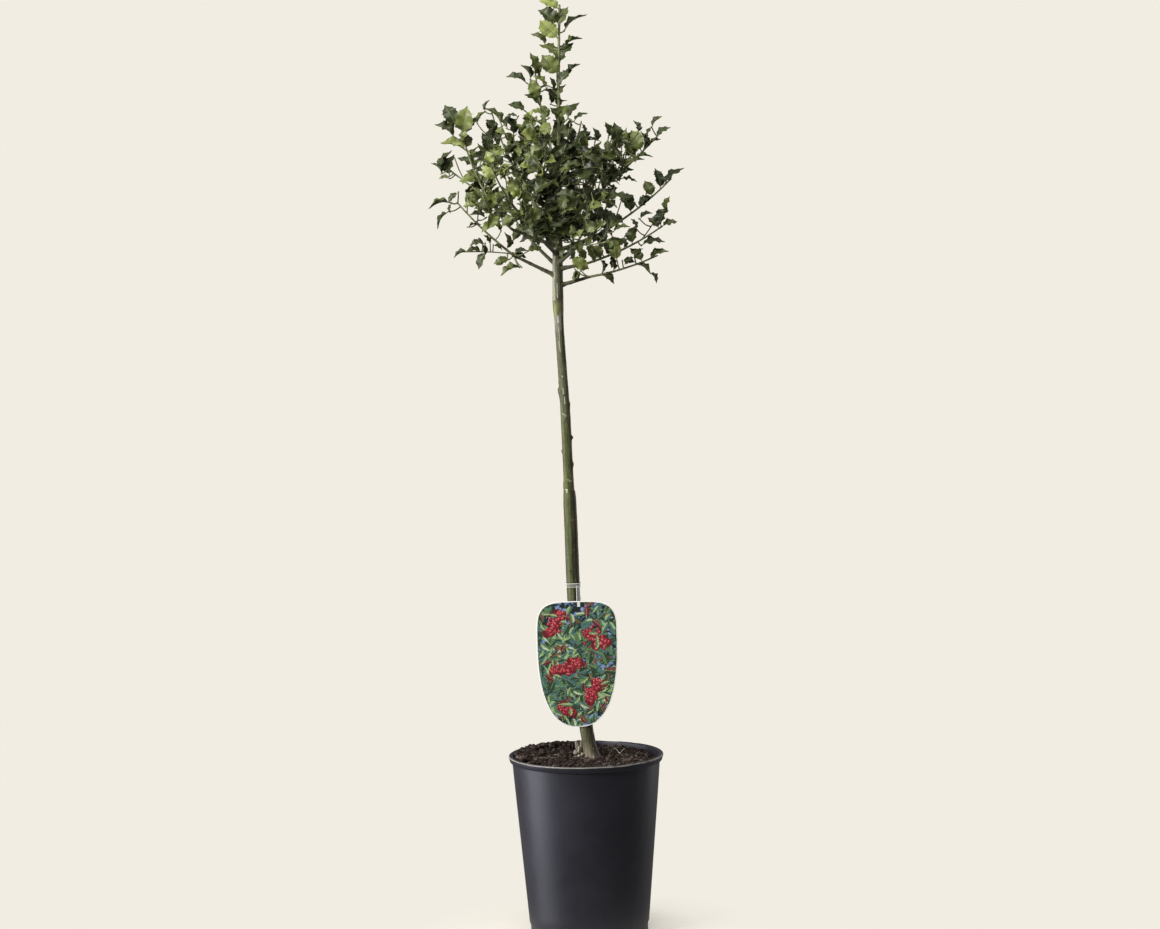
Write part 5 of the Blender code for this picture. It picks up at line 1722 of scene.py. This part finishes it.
def make_trunk(materials):
    """The trunk's bark: fine wrinkles, leaf scars up its length, the pruned joint and pale patches, with a
    painted highlight streak down its front-left and painted shade down its right side.
    """
    sides, spacing = 60, 0.0017
    lowest, highest = TRUNK_LINE[0][0], TRUNK_LINE[-1][0]
    scars = trunk_scars()
    count = round((highest - lowest) / spacing) + 1
    vertices, slots = [], []
    for i in range(count):
        height = lowest + (highest - lowest) * i / (count - 1)
        centre, radius = trunk_centre(height), trunk_radius(height)
        near = [scar for scar in scars if abs(scar[0] - height) < 0.014]
        for k in range(sides):
            angle = TAU * k / sides
            grow = radius + trunk_relief(height, angle, radius, near)
            vertices.append((centre.x + math.cos(angle) * grow, centre.y + math.sin(angle) * grow, height))
            if i + 1 < count:
                spot = Vector((math.cos(angle) * 0.9, math.sin(angle) * 0.9, height * 90))
                slots.append(trunk_slot(height, math.degrees(angle + math.pi / sides), noise.noise(spot)))
    bark = Builder()
    bark.add(vertices, tube_faces(count, sides), [*slots, 0, 0])
    trunk = bark.finish("trunk_bark", [materials[name] for name in TRUNK_SLOTS], 80)
    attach(trunk, "root")
    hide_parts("trunk")


def make_boughs(plan, materials):
    """The boughs' bark, each with a collar where it leaves the trunk and a curve on into its stem."""
    bark = Builder()
    rng = random.Random(BOUGH_SEED)
    for _, shoots, carrier in plan[:-1]:
        line = [*carrier[:-1], *shoots[0][0]]
        limb = Limb(carrier, BOUGH_FOOT_RADIUS, BOUGH_TIP_RADIUS, line=line)
        clear = trunk_radius(carrier[0].z) / limb.length
        bumps = [rng.uniform(0.2, 0.95) for _ in range(4)]

        def width(share, clear=clear, limb=limb, bumps=bumps):
            off = max(0.0, share - clear * 0.9) * limb.length
            collar = BOUGH_COLLAR * math.exp(-off / BOUGH_COLLAR_REACH)
            return limb.radius(share) * (1 + collar + limb.swelling(share, bumps, *BOUGH_SWELLING))

        def relief(point):
            ridges = noise.fractal(point * 300, 0.8, 2.1, 3)
            return 0.00016 * ridges + 0.00010 * noise.noise(point * 900)

        bark.add(*swept(limb, clear * 0.35, 0.0014, 14, width, relief), 0)
    boughs = bark.finish("bough_bark", [materials["bough_bark"]], 70)
    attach(boughs, "root")
    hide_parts(*[f"bough_{row[0]}" for row in BOUGHS])


def pot_profile():
    """The pot's section from the centre of its underside, over the lip and down inside to the floor."""
    foot, lip, step, top = POT_FOOT_RADIUS, POT_LIP_RADIUS, POT_FOOT_HEIGHT, POT_HEIGHT
    lip_foot, mouth = top - POT_LIP_DROP, pot_wall_radius(top) - POT_WALL
    skirt, inner_lip = lip_foot + 0.0022, lip - POT_WALL * 1.6
    outside = [step + (lip_foot - step) * i / 12 for i in range(1, 12)]
    inside = [step + (top - 0.002 - step) * i / 11 for i in range(11, 0, -1)]
    return [
        (0.0100, 0.0000), (0.0700, 0.0000), (foot - 0.0020, 0.0000), (foot - 0.0006, 0.0004),
        (foot, 0.0018), (foot + 0.0001, step - 0.0020), (foot + 0.0003, step - POT_FOOT_STEP),
        (POT_WALL_FOOT_RADIUS - 0.0006, step - 0.0002), (pot_wall_radius(step + 0.0016), step + 0.0016),
        *((pot_wall_radius(height), height) for height in (*outside, lip_foot, top - 0.0034)),
        (pot_wall_radius(top - 0.0022) + 0.0006, top - 0.0022), (inner_lip - 0.0006, top - 0.0020),
        (inner_lip, top - 0.0028), (inner_lip - 0.0012, skirt + 0.0006), (inner_lip - 0.0008, skirt),
        (lip - 0.0024, skirt), (lip - 0.0019, skirt + 0.0005), (lip - 0.0010, top - 0.0048),
        (lip - 0.0003, top - 0.0028), (lip, top - LIP_ROUND), (lip - 0.0004, top - 0.0004),
        (lip - 0.0012, top), (mouth + 0.0012, top), (mouth + 0.0003, top - 0.0005),
        *((pot_wall_radius(height) - POT_WALL, height) for height in inside),
        (POT_WALL_FOOT_RADIUS - POT_WALL, step + POT_FLOOR), (foot - POT_WALL, step - POT_FOOT_STEP),
        (foot - POT_WALL, POT_FLOOR), (0.0700, POT_FLOOR), (0.0100, POT_FLOOR),
    ]


def make_pot(materials):
    """The pot's shell with its rounded, slightly uneven lip and the drain holes in its floor."""
    sides = 192
    profile = pot_profile()
    vertices = []
    for radius, height in profile:
        level = max(0.0, (height - 0.18) / 0.07) ** 2
        on_lip = 1.0 if height > 0.2380 else 0.0
        for k in range(sides):
            c, s = math.cos(TAU * k / sides), math.sin(TAU * k / sides)
            uneven = 0.5 + 0.5 * noise.noise(Vector((c * 1.6, s * 1.6, 4.0)))
            kinks = max(0.0, noise.noise(Vector((c * 5, s * 5, 9.0))) - 0.1)
            r = radius - level * (0.0007 * uneven + 0.0006 * kinks)
            vertices.append((r * c, r * s, height - (0.0007 * uneven + 0.0012 * kinks) * on_lip))
    faces = [tuple(reversed(face)) for face in tube_faces(len(profile), sides)]
    # The lip's top edge takes the pale edge colour: wear and a painted highlight along the rim.
    edge = profile.index((POT_LIP_RADIUS, POT_HEIGHT - LIP_ROUND))
    worn_and_highlit = range(edge * sides, (edge + 2) * sides)
    shell = Builder()
    shell.add(vertices, faces, [1 if number in worn_and_highlit else 0 for number in range(len(faces))])
    pot = shell.finish("pot_shell", [materials["pot"], materials["pot_edge_wear_and_highlight"]], 40)
    holes = Builder()
    for i in range(DRAIN_HOLES):
        angle = TAU * (i + 0.5) / DRAIN_HOLES
        centre = Vector((math.cos(angle), math.sin(angle), 0)) * DRAIN_CIRCLE_RADIUS
        reach = Vector((0, 0, 2 * POT_FLOOR))
        holes.add(*tube_parts([centre - reach, centre + reach], [DRAIN_HOLE_RADIUS] * 2, 32), 0)
    cutter = holes.finish("drain_cutter", [materials["pot"]])
    cut = pot.modifiers.new("drain", "BOOLEAN")
    cut.operation = "DIFFERENCE"
    cut.object = cutter
    with bpy.context.temp_override(object=pot, active_object=pot):
        bpy.ops.object.modifier_apply(modifier=cut.name)
    bpy.data.objects.remove(cutter)
    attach(pot, "root")
    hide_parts("nursery_pot")


def soil_height(x, y):
    """The height of the soil's surface at that place."""
    centre = trunk_centre(TRUNK_FOOT)
    azimuth = math.atan2(y, x)
    edge = soil_edge_height(azimuth)
    wall = pot_wall_radius(edge) - POT_WALL
    share = min(1.0, math.hypot(x, y) / wall)
    foot = TRUNK_FOOT - GAP
    lumps = 0.0026 * noise.fractal(Vector((x * 85, y * 85, 1.3)), 0.9, 2.0, 3)
    grains = 0.0016 * noise.fractal(Vector((x * 240, y * 240, 5.1)), 0.8, 2.1, 3)
    near = math.hypot(x - centre.x, y - centre.y)
    calm = min(1.0, max(0.0, (near - 0.010) / 0.02))
    return foot + (edge - foot) * share * share + (lumps + grains) * (0.35 + 0.65 * calm)


def make_soil(materials):
    """The soil: a crumbly top down into the pot, with clods, bark chips, straws and pale fragments."""
    sides, rings = 150, 60
    turns = [TAU * k / sides for k in range(sides)]
    below = (
        (POT_FLOOR + GAP, POT_FOOT_RADIUS),
        (POT_FOOT_HEIGHT - POT_FOOT_STEP, POT_FOOT_RADIUS),
        (POT_FOOT_HEIGHT + POT_FLOOR, POT_WALL_FOOT_RADIUS),
    )
    vertices = []
    for height, radius in below:
        inner = radius - POT_WALL - GAP
        vertices += [(inner * math.cos(angle), inner * math.sin(angle), height) for angle in turns]
    for i in range(rings):
        for angle in turns:
            inner = (pot_wall_radius(soil_edge_height(angle)) - POT_WALL - 0.0010) * (1.0 - i / rings)
            x, y = inner * math.cos(angle), inner * math.sin(angle)
            vertices.append((x, y, min(soil_height(x, y), POT_HEIGHT - 0.0012)))
    vertices.append((0, 0, soil_height(0, 0)))
    body = Builder()
    body.add(vertices, pointed_faces(len(below) + rings, sides), 0)
    soil = body.finish("soil_top", [materials["soil"]], 60)
    crumbs = make_crumbs(materials)
    for piece in (soil, crumbs):
        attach(piece, "root")
        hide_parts("potting_soil")


CRUMB_FACES = (
    (0, 1, 2), (0, 2, 3), (0, 3, 4), (0, 4, 5), (0, 5, 1),
    (1, 6, 2), (2, 6, 7), (2, 7, 3), (3, 7, 8), (3, 8, 4),
    (4, 8, 9), (4, 9, 5), (5, 9, 10), (5, 10, 1), (1, 10, 6),
    (11, 7, 6), (11, 8, 7), (11, 9, 8), (11, 10, 9), (11, 6, 10),
)


def crumb_corners(rng, centre, reach):
    """An uneven lump of twelve corners, stretched by its reach on each axis."""
    corners = [Vector((0, 0, 1))]
    for half, height in ((0, 0.447), (0.5, -0.447)):
        for k in range(5):
            angle = TAU * (k + half) / 5
            corners.append(Vector((math.cos(angle) * 0.894, math.sin(angle) * 0.894, height)))
    corners.append(Vector((0, 0, -1)))
    turn = Matrix.Rotation(rng.uniform(0, TAU), 3, "Z") @ Matrix.Rotation(rng.uniform(-0.6, 0.6), 3, "X")
    placed = []
    for corner in corners:
        scale = rng.uniform(0.72, 1.22)
        spot = Vector((corner.x * reach[0], corner.y * reach[1], corner.z * reach[2])) * scale
        placed.append(centre + turn @ spot)
    return placed


def scatter_spot(rng, margin=0.004):
    """A random place on the soil clear of the trunk and the wall."""
    foot = trunk_centre(TRUNK_FOOT)
    while True:
        x, y = rng.uniform(-0.1, 0.1), rng.uniform(-0.1, 0.1)
        wall = pot_wall_radius(soil_edge_height(math.atan2(y, x))) - POT_WALL - margin
        if math.hypot(x, y) < wall and math.hypot(x - foot.x, y - foot.y) > TRUNK_GIRTH[0][1] + 0.003:
            return x, y


def make_crumbs(materials):
    """Loose crumbs of peat, chips of bark, straws and pale bits of wood on the soil."""
    rng = random.Random(CRUMB_SEED)
    loose = Builder()

    def lump(x, y, lift, reach):
        centre = Vector((x, y, soil_height(x, y) + lift))
        return crumb_corners(rng, centre, reach), CRUMB_FACES

    for _ in range(PEAT_CRUMBS):
        x, y = scatter_spot(rng)
        size = 0.0008 + 0.0038 * rng.random() ** 2.0
        reach = (size * rng.uniform(0.8, 1.5), size, size * rng.uniform(0.6, 1.0))
        loose.add(*lump(x, y, size * 0.25, reach), 0 if rng.random() < 0.70 else 1)
    for _ in range(BARK_FLAKES):
        x, y = scatter_spot(rng, 0.008)
        size = rng.uniform(0.0018, 0.0040)
        loose.add(*lump(x, y, 0.0012, (size, size * 0.55, 0.0009)), rng.choice((1, 1, 2)))
    for _ in range(HEAPED_CLODS):
        azimuth = math.radians(rng.uniform(*HEAPED_AZIMUTHS))
        away, size = rng.uniform(0.082, 0.0970), rng.uniform(0.0022, 0.0052)
        x, y = away * math.cos(azimuth), away * math.sin(azimuth)
        loose.add(*lump(x, y, size * 0.75, (size * 1.2, size, size * 0.8)), rng.choice((0, 0, 1)))
    for _ in range(FINE_STRAWS):
        x, y = scatter_spot(rng, 0.010)
        length, radius = rng.uniform(0.005, 0.016), rng.uniform(0.00018, 0.00040)
        add_straw(loose, rng, x, y, length, radius, rng.choice((1, 2, 2)))
    foot = trunk_centre(TRUNK_FOOT)
    for _ in range(WOOD_CHIPS):
        azimuth = math.radians(rng.uniform(*CHIP_AZIMUTHS))
        away = rng.uniform(0.013, 0.026)
        x, y = foot.x + math.cos(azimuth) * away, foot.y + math.sin(azimuth) * away
        size = rng.uniform(0.0014, 0.0030)
        loose.add(*lump(x, y, size * 0.4, (size * 1.3, size * 0.6, size * 0.8)), 3)
    for *spot, wide, deep, high in SPLIT_WOOD:
        loose.add(crumb_corners(rng, Vector(spot), (wide, deep, high)), CRUMB_FACES, 3)
    for ends, thick, slot in LOOSE_STRAWS:
        start, end = (Vector(spot) for spot in ends)
        sags = [0.0010 * math.sin(math.pi * i / 4) for i in range(5)]
        points = [start.lerp(end, i / 4) + Vector((0, 0, sag)) for i, sag in enumerate(sags)]
        loose.add(*tube_parts(points, tapered(thick, thick * 0.5, 5), 5), slot)
    slots = [materials[key] for key in ("soil", "bark_chip", "straw", "wood_chip")]
    return loose.finish("soil_crumbs", slots, 30)


def add_straw(loose, rng, x, y, length, radius, slot):
    """A thin straw that lies on the soil, a little bent."""
    angle, bend = rng.uniform(0, TAU), rng.uniform(-0.6, 0.6)
    points = []
    for i in range(5):
        part = i / 4 - 0.5
        turn = angle + bend * part
        px = x + math.cos(turn) * length * part
        py = y + math.sin(turn) * length * part
        points.append(Vector((px, py, soil_height(px, py) + 0.0012 + 0.0006 * math.sin(i * 2.1))))
    loose.add(*tube_parts(points, [radius] * 5, 4), slot)


def squared(angle, power):
    """The point at that angle of a superellipse with unit reach, the squarer the higher its power."""
    c, s = math.cos(angle), math.sin(angle)
    return math.copysign(abs(c) ** (2 / power), c), math.copysign(abs(s) ** (2 / power), s)


def label_outline(inset=0.0, steps=22):
    """The label's outline as (x, z) points: two halves of superellipses, square-shouldered above and
    rounder and longer below."""
    shoulder = LABEL_HEIGHT * LABEL_SHOULDER
    halves = (
        (LABEL_CORNER_POWER, shoulder - inset, 0),
        (LABEL_FOOT_POWER, LABEL_HEIGHT - shoulder - inset, math.pi),
    )
    outline = []
    for power, depth, start in halves:
        for i in range(2 * steps):
            across, along = squared(start + math.pi * i / (2 * steps), power)
            x = LABEL_CENTRE_X + across * (LABEL_WIDTH / 2 - inset)
            outline.append((x, LABEL_TOP - shoulder + along * depth))
    return outline


def clipped(shape, outline):
    """The part of a flat shape inside a convex outline that runs counter-clockwise."""
    for (ax, az), (bx, bz) in zip(outline, outline[1:] + outline[:1]):
        kept = []
        sides = [(bx - ax) * (z - az) - (bz - az) * (x - ax) for x, z in shape]
        for i, (x, z) in enumerate(shape):
            before, side, last = shape[i - 1], sides[i], sides[i - 1]
            if side * last < 0:
                part = last / (last - side)
                kept.append((before[0] + (x - before[0]) * part, before[1] + (z - before[1]) * part))
            if side >= 0:
                kept.append((x, z))
        shape = kept
        if len(shape) < 3:
            return []
    return shape


def add_layer(card, shape, front, back, slot):
    """A flat printed shape as a thin layer between two planes."""
    count = len(shape)
    vertices = [(x, front, z) for x, z in shape] + [(x, back, z) for x, z in shape]
    faces = [tuple(range(count))]
    for k in range(count):
        after = (k + 1) % count
        faces.append((after, k, count + k, count + after))
    card.add(vertices, faces, slot)


def printed_leaf(x, z, turn, length, slim):
    """The two halves of a spined leaf and its midrib as outlines, counter-clockwise."""
    half = length * slim
    side = []
    for i in range(9):
        part = (i + 1) / 10
        side.append((part * length, half * math.sin(math.pi * part) ** 0.7 * (1.0 if i % 2 else 0.62)))
    c, s = math.cos(turn), math.sin(turn)
    near = [(0, 0), *[(a, -w) for a, w in side], (length, 0)]
    far = [(length, 0), *[(a, w) for a, w in reversed(side)], (0, 0)]
    rib = [(-length * 0.1, -half * 0.07), (length, 0), (-length * 0.1, half * 0.07)]
    return [[(x + a * c - b * s, z + a * s + b * c) for a, b in part] for part in (near, far, rib)]


class Print:
    """Flat shapes stacked on the card's face, each clipped to the panel and just above the last."""

    def __init__(self, card, panel, front):
        self.card, self.panel, self.front = card, panel, front
        self.layer = front - PRINT_DEPTH

    def stamp(self, shape, slot):
        """Adds one shape."""
        shape = clipped(shape, self.panel)
        self.layer -= PRINT_STEP
        if shape:
            add_layer(self.card, shape, self.layer, self.front, slot)

    def disc(self, x, z, radius, slot, sides=14):
        """Adds a round shape."""
        turns = [TAU * k / sides for k in range(sides)]
        self.stamp([(x + radius * math.cos(turn), z + radius * math.sin(turn)) for turn in turns], slot)

    def leaf(self, x, z, turn, length, slim, slots):
        """Adds a leaf's near half, its far half and its midrib."""
        for shape, slot in zip(printed_leaf(x, z, turn, length, slim), slots):
            self.stamp(shape, slot)


def print_on(card, panel, front):
    """The generic print: sprigs of two-toned leaves over a dark ground, then loose bunches of berries
    over their own shade, with more leaves between them."""
    rng = random.Random(PRINT_SEED)
    made = Print(card, panel, front)
    for count, reach, tones in PRINT_SPRIGS:
        for _ in range(count):
            x = LABEL_CENTRE_X + rng.uniform(-0.5, 0.5) * LABEL_WIDTH
            z = LABEL_TOP - rng.random() * LABEL_HEIGHT
            course, bend = rng.uniform(0, TAU), rng.uniform(-0.5, 0.5)
            for number in range(SPRIG_LEAVES):
                x += math.cos(course) * reach * 0.42
                z += math.sin(course) * reach * 0.42
                course += bend
                turn = course + (0.9 if number % 2 else -0.9) + rng.uniform(-0.3, 0.3)
                light, dark = rng.choice(tones)
                length, slim = reach * rng.uniform(0.8, 1.2), rng.uniform(0.20, 0.34)
                made.leaf(x, z, turn, length, slim, (dark, light, 4))
    for across, down, turn, length, wide, berries in BERRY_BUNCHES:
        turn = math.radians(turn)
        for number in range(-BERRY_SHADES, berries):
            along, aside = rng.uniform(-1, 1) * length, rng.gauss(0, 0.36) * wide
            x = LABEL_CENTRE_X + across + along * math.cos(turn) - aside * math.sin(turn)
            z = LABEL_TOP - down + along * math.sin(turn) + aside * math.cos(turn)
            radius = rng.uniform(0.0021, 0.0029)
            if number < 0:
                made.disc(x, z, radius * 2.4, 6, 9)
                continue
            made.disc(x, z, radius, 6)
            made.disc(x - radius * 0.15, z + radius * 0.18, radius * 0.72, 5)
            made.disc(x - radius * 0.35, z + radius * 0.40, radius * 0.22, 7, 8)
        for _ in range(3):
            x = LABEL_CENTRE_X + across + rng.uniform(-1, 1) * length
            z = LABEL_TOP - down + rng.uniform(-1, 1) * length
            made.leaf(x, z, rng.uniform(0, TAU), 0.012, 0.24, (3, 4, 9))


def make_label(materials):
    """The label: a white card with a generic print of leaf sprigs and berries inside its border, and a
    strap of clear film that loops round the trunk."""
    card = Builder()
    outline, rim = label_outline(), label_outline(0.0002)
    back, front = LABEL_PLANE_Y, LABEL_PLANE_Y - LABEL_THICKNESS
    rings = [(rim, back), (outline, back - 0.0002), (outline, front + 0.0002), (rim, front)]
    vertices = [(x, y, z) for points, y in rings for x, z in points]
    card.add(vertices, tube_faces(len(rings), len(outline)), 0)
    panel = label_outline(LABEL_BORDER, 14)
    add_layer(card, panel, front - 0.00003, front + 0.0001, 1)
    print_on(card, panel, front)
    slots = [materials[key] for key in ("card", "print_ground", *PRINT_INKS)]
    label = card.finish("label_card", slots, 30)
    strap = make_strap(materials)
    for piece in (label, strap):
        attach(piece, "root")
        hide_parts("hanging_label")


def loop_ring(half, height, sides=96):
    """A ring of the strap's loop round the trunk, nearly square with round corners."""
    centre = trunk_centre(STRAP_TOP)
    corners = [squared(TAU * k / sides, STRAP_LOOP_POWER) for k in range(sides)]
    return [Vector((centre.x + x * half, centre.y + y * half, height)) for x, y in corners]


def make_strap(materials):
    """The strap from the card's top up to its loop round the trunk: clear film whose edges carry painted
    highlights as white beads.
    """
    film = Builder()
    low, high = STRAP_TOP - STRAP_WIDTH, STRAP_TOP
    outer, inner = STRAP_LOOP_HALF - 0.0001, STRAP_LOOP_HALF - 0.0005
    rings = [loop_ring(*row) for row in ((outer, low), (outer, high), (inner, high), (inner, low))]
    sides = len(rings[0])
    faces = ring_faces(4, sides)
    for k in range(sides):
        after = (k + 1) % sides
        faces.append((3 * sides + k, 3 * sides + after, after, k))
    film.add([point for points in rings for point in points], faces, 0)
    # Painted highlight along the loop's edges, brighter at its top.
    for height, slot in ((low, 2), (high, 1)):
        add_bead(film, loop_ring(STRAP_LOOP_HALF - 0.0003, height), 0.00034, True, slot)
    left, right = STRAP_X - STRAP_WIDTH / 2, STRAP_X + STRAP_WIDTH / 2
    plane = LABEL_PLANE_Y - LABEL_THICKNESS / 2
    foot, head = LABEL_TOP - STRAP_WIDTH, STRAP_TOP - STRAP_WIDTH * 0.5
    steps = [(foot + (head - foot) * i / 11, 0.0004 * math.sin(math.pi * i / 11)) for i in range(12)]
    section = ((left, -0.0002), (right, -0.0002), (right, 0.0002), (left, 0.0002))
    vertices = [(x, plane + y - sag, height) for height, sag in steps for x, y in section]
    film.add(vertices, tube_faces(len(steps), 4), 0)
    # Painted highlight along the strap's edges, brighter on its left towards the key light.
    for x, slot in ((left, 1), (right, 2)):
        add_bead(film, [Vector((x, plane - sag, height)) for height, sag in steps], 0.00032, False, slot)
    front = LABEL_PLANE_Y - LABEL_THICKNESS
    start, end = left + 0.0004, right - 0.0004
    tab = [(start, TAB_HEIGHTS[0]), (end, TAB_HEIGHTS[0]), (end, TAB_HEIGHTS[1]), (start, TAB_HEIGHTS[1])]
    vertices = [(x, front - deep, z) for deep in (0.0006, 0.0001) for x, z in tab]
    faces = [(0, 1, 2, 3), (7, 6, 5, 4)] + [(k, 4 + k, 4 + (k + 1) % 4, (k + 1) % 4) for k in range(4)]
    film.add(vertices, faces, 3)
    slots = [materials[key] for key in ("strap_film", "bead", "strap_edge", "strap_tab")]
    return film.finish("label_strap", slots, 40)


def add_bead(film, line, radius, closed, slot):
    """A thin round edge along a line."""
    count, sides = len(line), 6
    vertices, faces = [], []
    for i in range(count):
        ahead = line[(i + 1) % count] if closed or i + 1 < count else line[i]
        behind = line[i - 1] if closed or i else line[i]
        tangent = (ahead - behind).normalized()
        up = Vector((0, 0, 1)) if abs(tangent.z) < 0.5 else Vector((1, 0, 0))
        across = tangent.cross(up).normalized()
        vertices += ring(line[i], across, across.cross(tangent), radius, sides)
    for i in range(count if closed else count - 1):
        after = (i + 1) % count
        for k in range(sides):
            other = (k + 1) % sides
            faces.append((after * sides + other, after * sides + k, i * sides + k, i * sides + other))
    if not closed:
        faces += tube_faces(count, sides)[-2:]
    film.add(vertices, faces, slot)


def make_materials():
    """Every material of the plant, by name."""
    made = {"twig": twig_material(), "pot": pot_material(), "pot_edge_wear_and_highlight": worn_and_highlit_edge_material()}
    for tone, colour in LEAF_TONES.items():
        made[f"leaf_{tone}"] = leaf_material(f"leaf_{tone}", colour)
        under = tuple(0.55 * part + 0.45 * base for part, base in zip(colour, UNDERSIDE))
        made[f"under_{tone}"] = underside_material(f"under_{tone}", under)
    for name, row in GROWTH_COLOURS.items():
        made[name] = plain_growth_material(name, *row)
    for name, row in BARK_COLOURS.items():
        made[name] = bark_material(name, *row)
    for name, row in SOIL_COLOURS.items():
        made[name] = soil_material(name, *row)
    made["card"] = label_material("label_card", (0.80, 0.80, 0.77), 0.03)
    # The strap's beads are a painted highlight in pale, opaque white.
    made["bead"] = label_material("strap_bead", (0.80, 0.80, 0.78), 0.04)
    made["print_ground"] = sky_material()
    for name, colour in PRINT_INKS.items():
        made[name] = label_material(name, colour, 0.45, 620)
    for name, opacity in STRAP_OPACITY.items():
        made[name] = strap_material(name, opacity)
    return made


def make_camera():
    """The camera at the photograph's viewing angle."""
    pitch, roll = CAMERA_PITCH, CAMERA_ROLL
    ahead = Vector((0, math.cos(pitch), -math.sin(pitch)))
    level, upright = Vector((1, 0, 0)), Vector((0, math.sin(pitch), math.cos(pitch)))
    right = level * math.cos(roll) - upright * math.sin(roll)
    up = level * math.sin(roll) + upright * math.cos(roll)
    lens = bpy.data.cameras.new("camera")
    lens.lens = CAMERA_LENS
    lens.sensor_width = CAMERA_SENSOR
    lens.sensor_fit = "HORIZONTAL"
    camera = bpy.data.objects.new("camera", lens)
    bpy.context.scene.collection.objects.link(camera)
    turn = Matrix((right, up, -ahead)).transposed()
    camera.matrix_world = Matrix.Translation(CAMERA_PLACE) @ turn.to_4x4()
    bpy.context.scene.camera = camera


def add_light(name, place, target, size, energy, colour):
    """A soft rectangular studio light that faces its target."""
    data = bpy.data.lights.new(name, "AREA")
    data.shape = "RECTANGLE"
    data.size, data.size_y = size
    data.energy = energy
    data.color = colour
    light = bpy.data.objects.new(name, data)
    bpy.context.scene.collection.objects.link(light)
    light.location = place
    aim = (Vector(target) - Vector(place)).normalized()
    light.rotation_euler = aim.to_track_quat("-Z", "Y").to_euler()


def make_studio():
    """Cream surroundings, soft lights and a pale floor that fades into the surroundings."""
    scene = bpy.context.scene
    scene.view_settings.view_transform = "Standard"
    scene.view_settings.look = "None"
    world = bpy.data.worlds.new("studio")
    scene.world = world
    world.use_nodes = True
    tree = world.node_tree
    shown = tree.nodes["Background"]
    shown.inputs["Color"].default_value = (*BACKDROP, 1.0)
    lit = tree.nodes.new("ShaderNodeBackground")
    lit.inputs["Color"].default_value = (1.0, 0.98, 0.94, 1.0)
    lit.inputs["Strength"].default_value = SURROUND_STRENGTH
    path = tree.nodes.new("ShaderNodeLightPath")
    mix = tree.nodes.new("ShaderNodeMixShader")
    tree.links.new(path.outputs["Is Camera Ray"], mix.inputs["Fac"])
    tree.links.new(lit.outputs[0], mix.inputs[1])
    tree.links.new(shown.outputs[0], mix.inputs[2])
    tree.links.new(mix.outputs[0], tree.nodes["World Output"].inputs["Surface"])
    for row in STUDIO_LIGHTS:
        add_light(*row)
    make_floor()


def make_floor():
    """The pale floor: a disc that grows clear towards its edge."""
    sides, rings, reach = 96, 12, 0.25
    vertices = [(0, 0, 0)]
    for i in range(1, rings + 1):
        for k in range(sides):
            angle = TAU * k / sides
            vertices.append((reach * i / rings * math.cos(angle), reach * i / rings * math.sin(angle), 0))
    faces = [(0, 1 + k, 1 + (k + 1) % sides) for k in range(sides)]
    faces += [tuple(reversed(face)) for face in ring_faces(rings, sides, 1)]
    disc = Builder()
    disc.add(vertices, faces, 0)
    nodes = Nodes("floor", BACKDROP, 0.9, Specular_IOR_Level=0.0)
    length = nodes.add("VectorMath", {0: nodes.place}, operation="LENGTH")["Value"]
    clear = nodes.ramp(nodes.span(length, reach * 0.97, 0.085), (0.0, 0.0), (0.5, 0.15), (1.0, 0.6))
    nodes.link(clear, nodes.shader.inputs["Alpha"])
    disc.finish("floor", [nodes.material])


def main():
    """Makes every piece, the camera and the studio."""
    materials = make_materials()
    plan = mass_plan()
    make_foliage(plan, materials)
    make_boughs(plan, materials)
    make_trunk(materials)
    make_pot(materials)
    make_soil(materials)
    make_label(materials)
    make_camera()
    make_studio()


main()
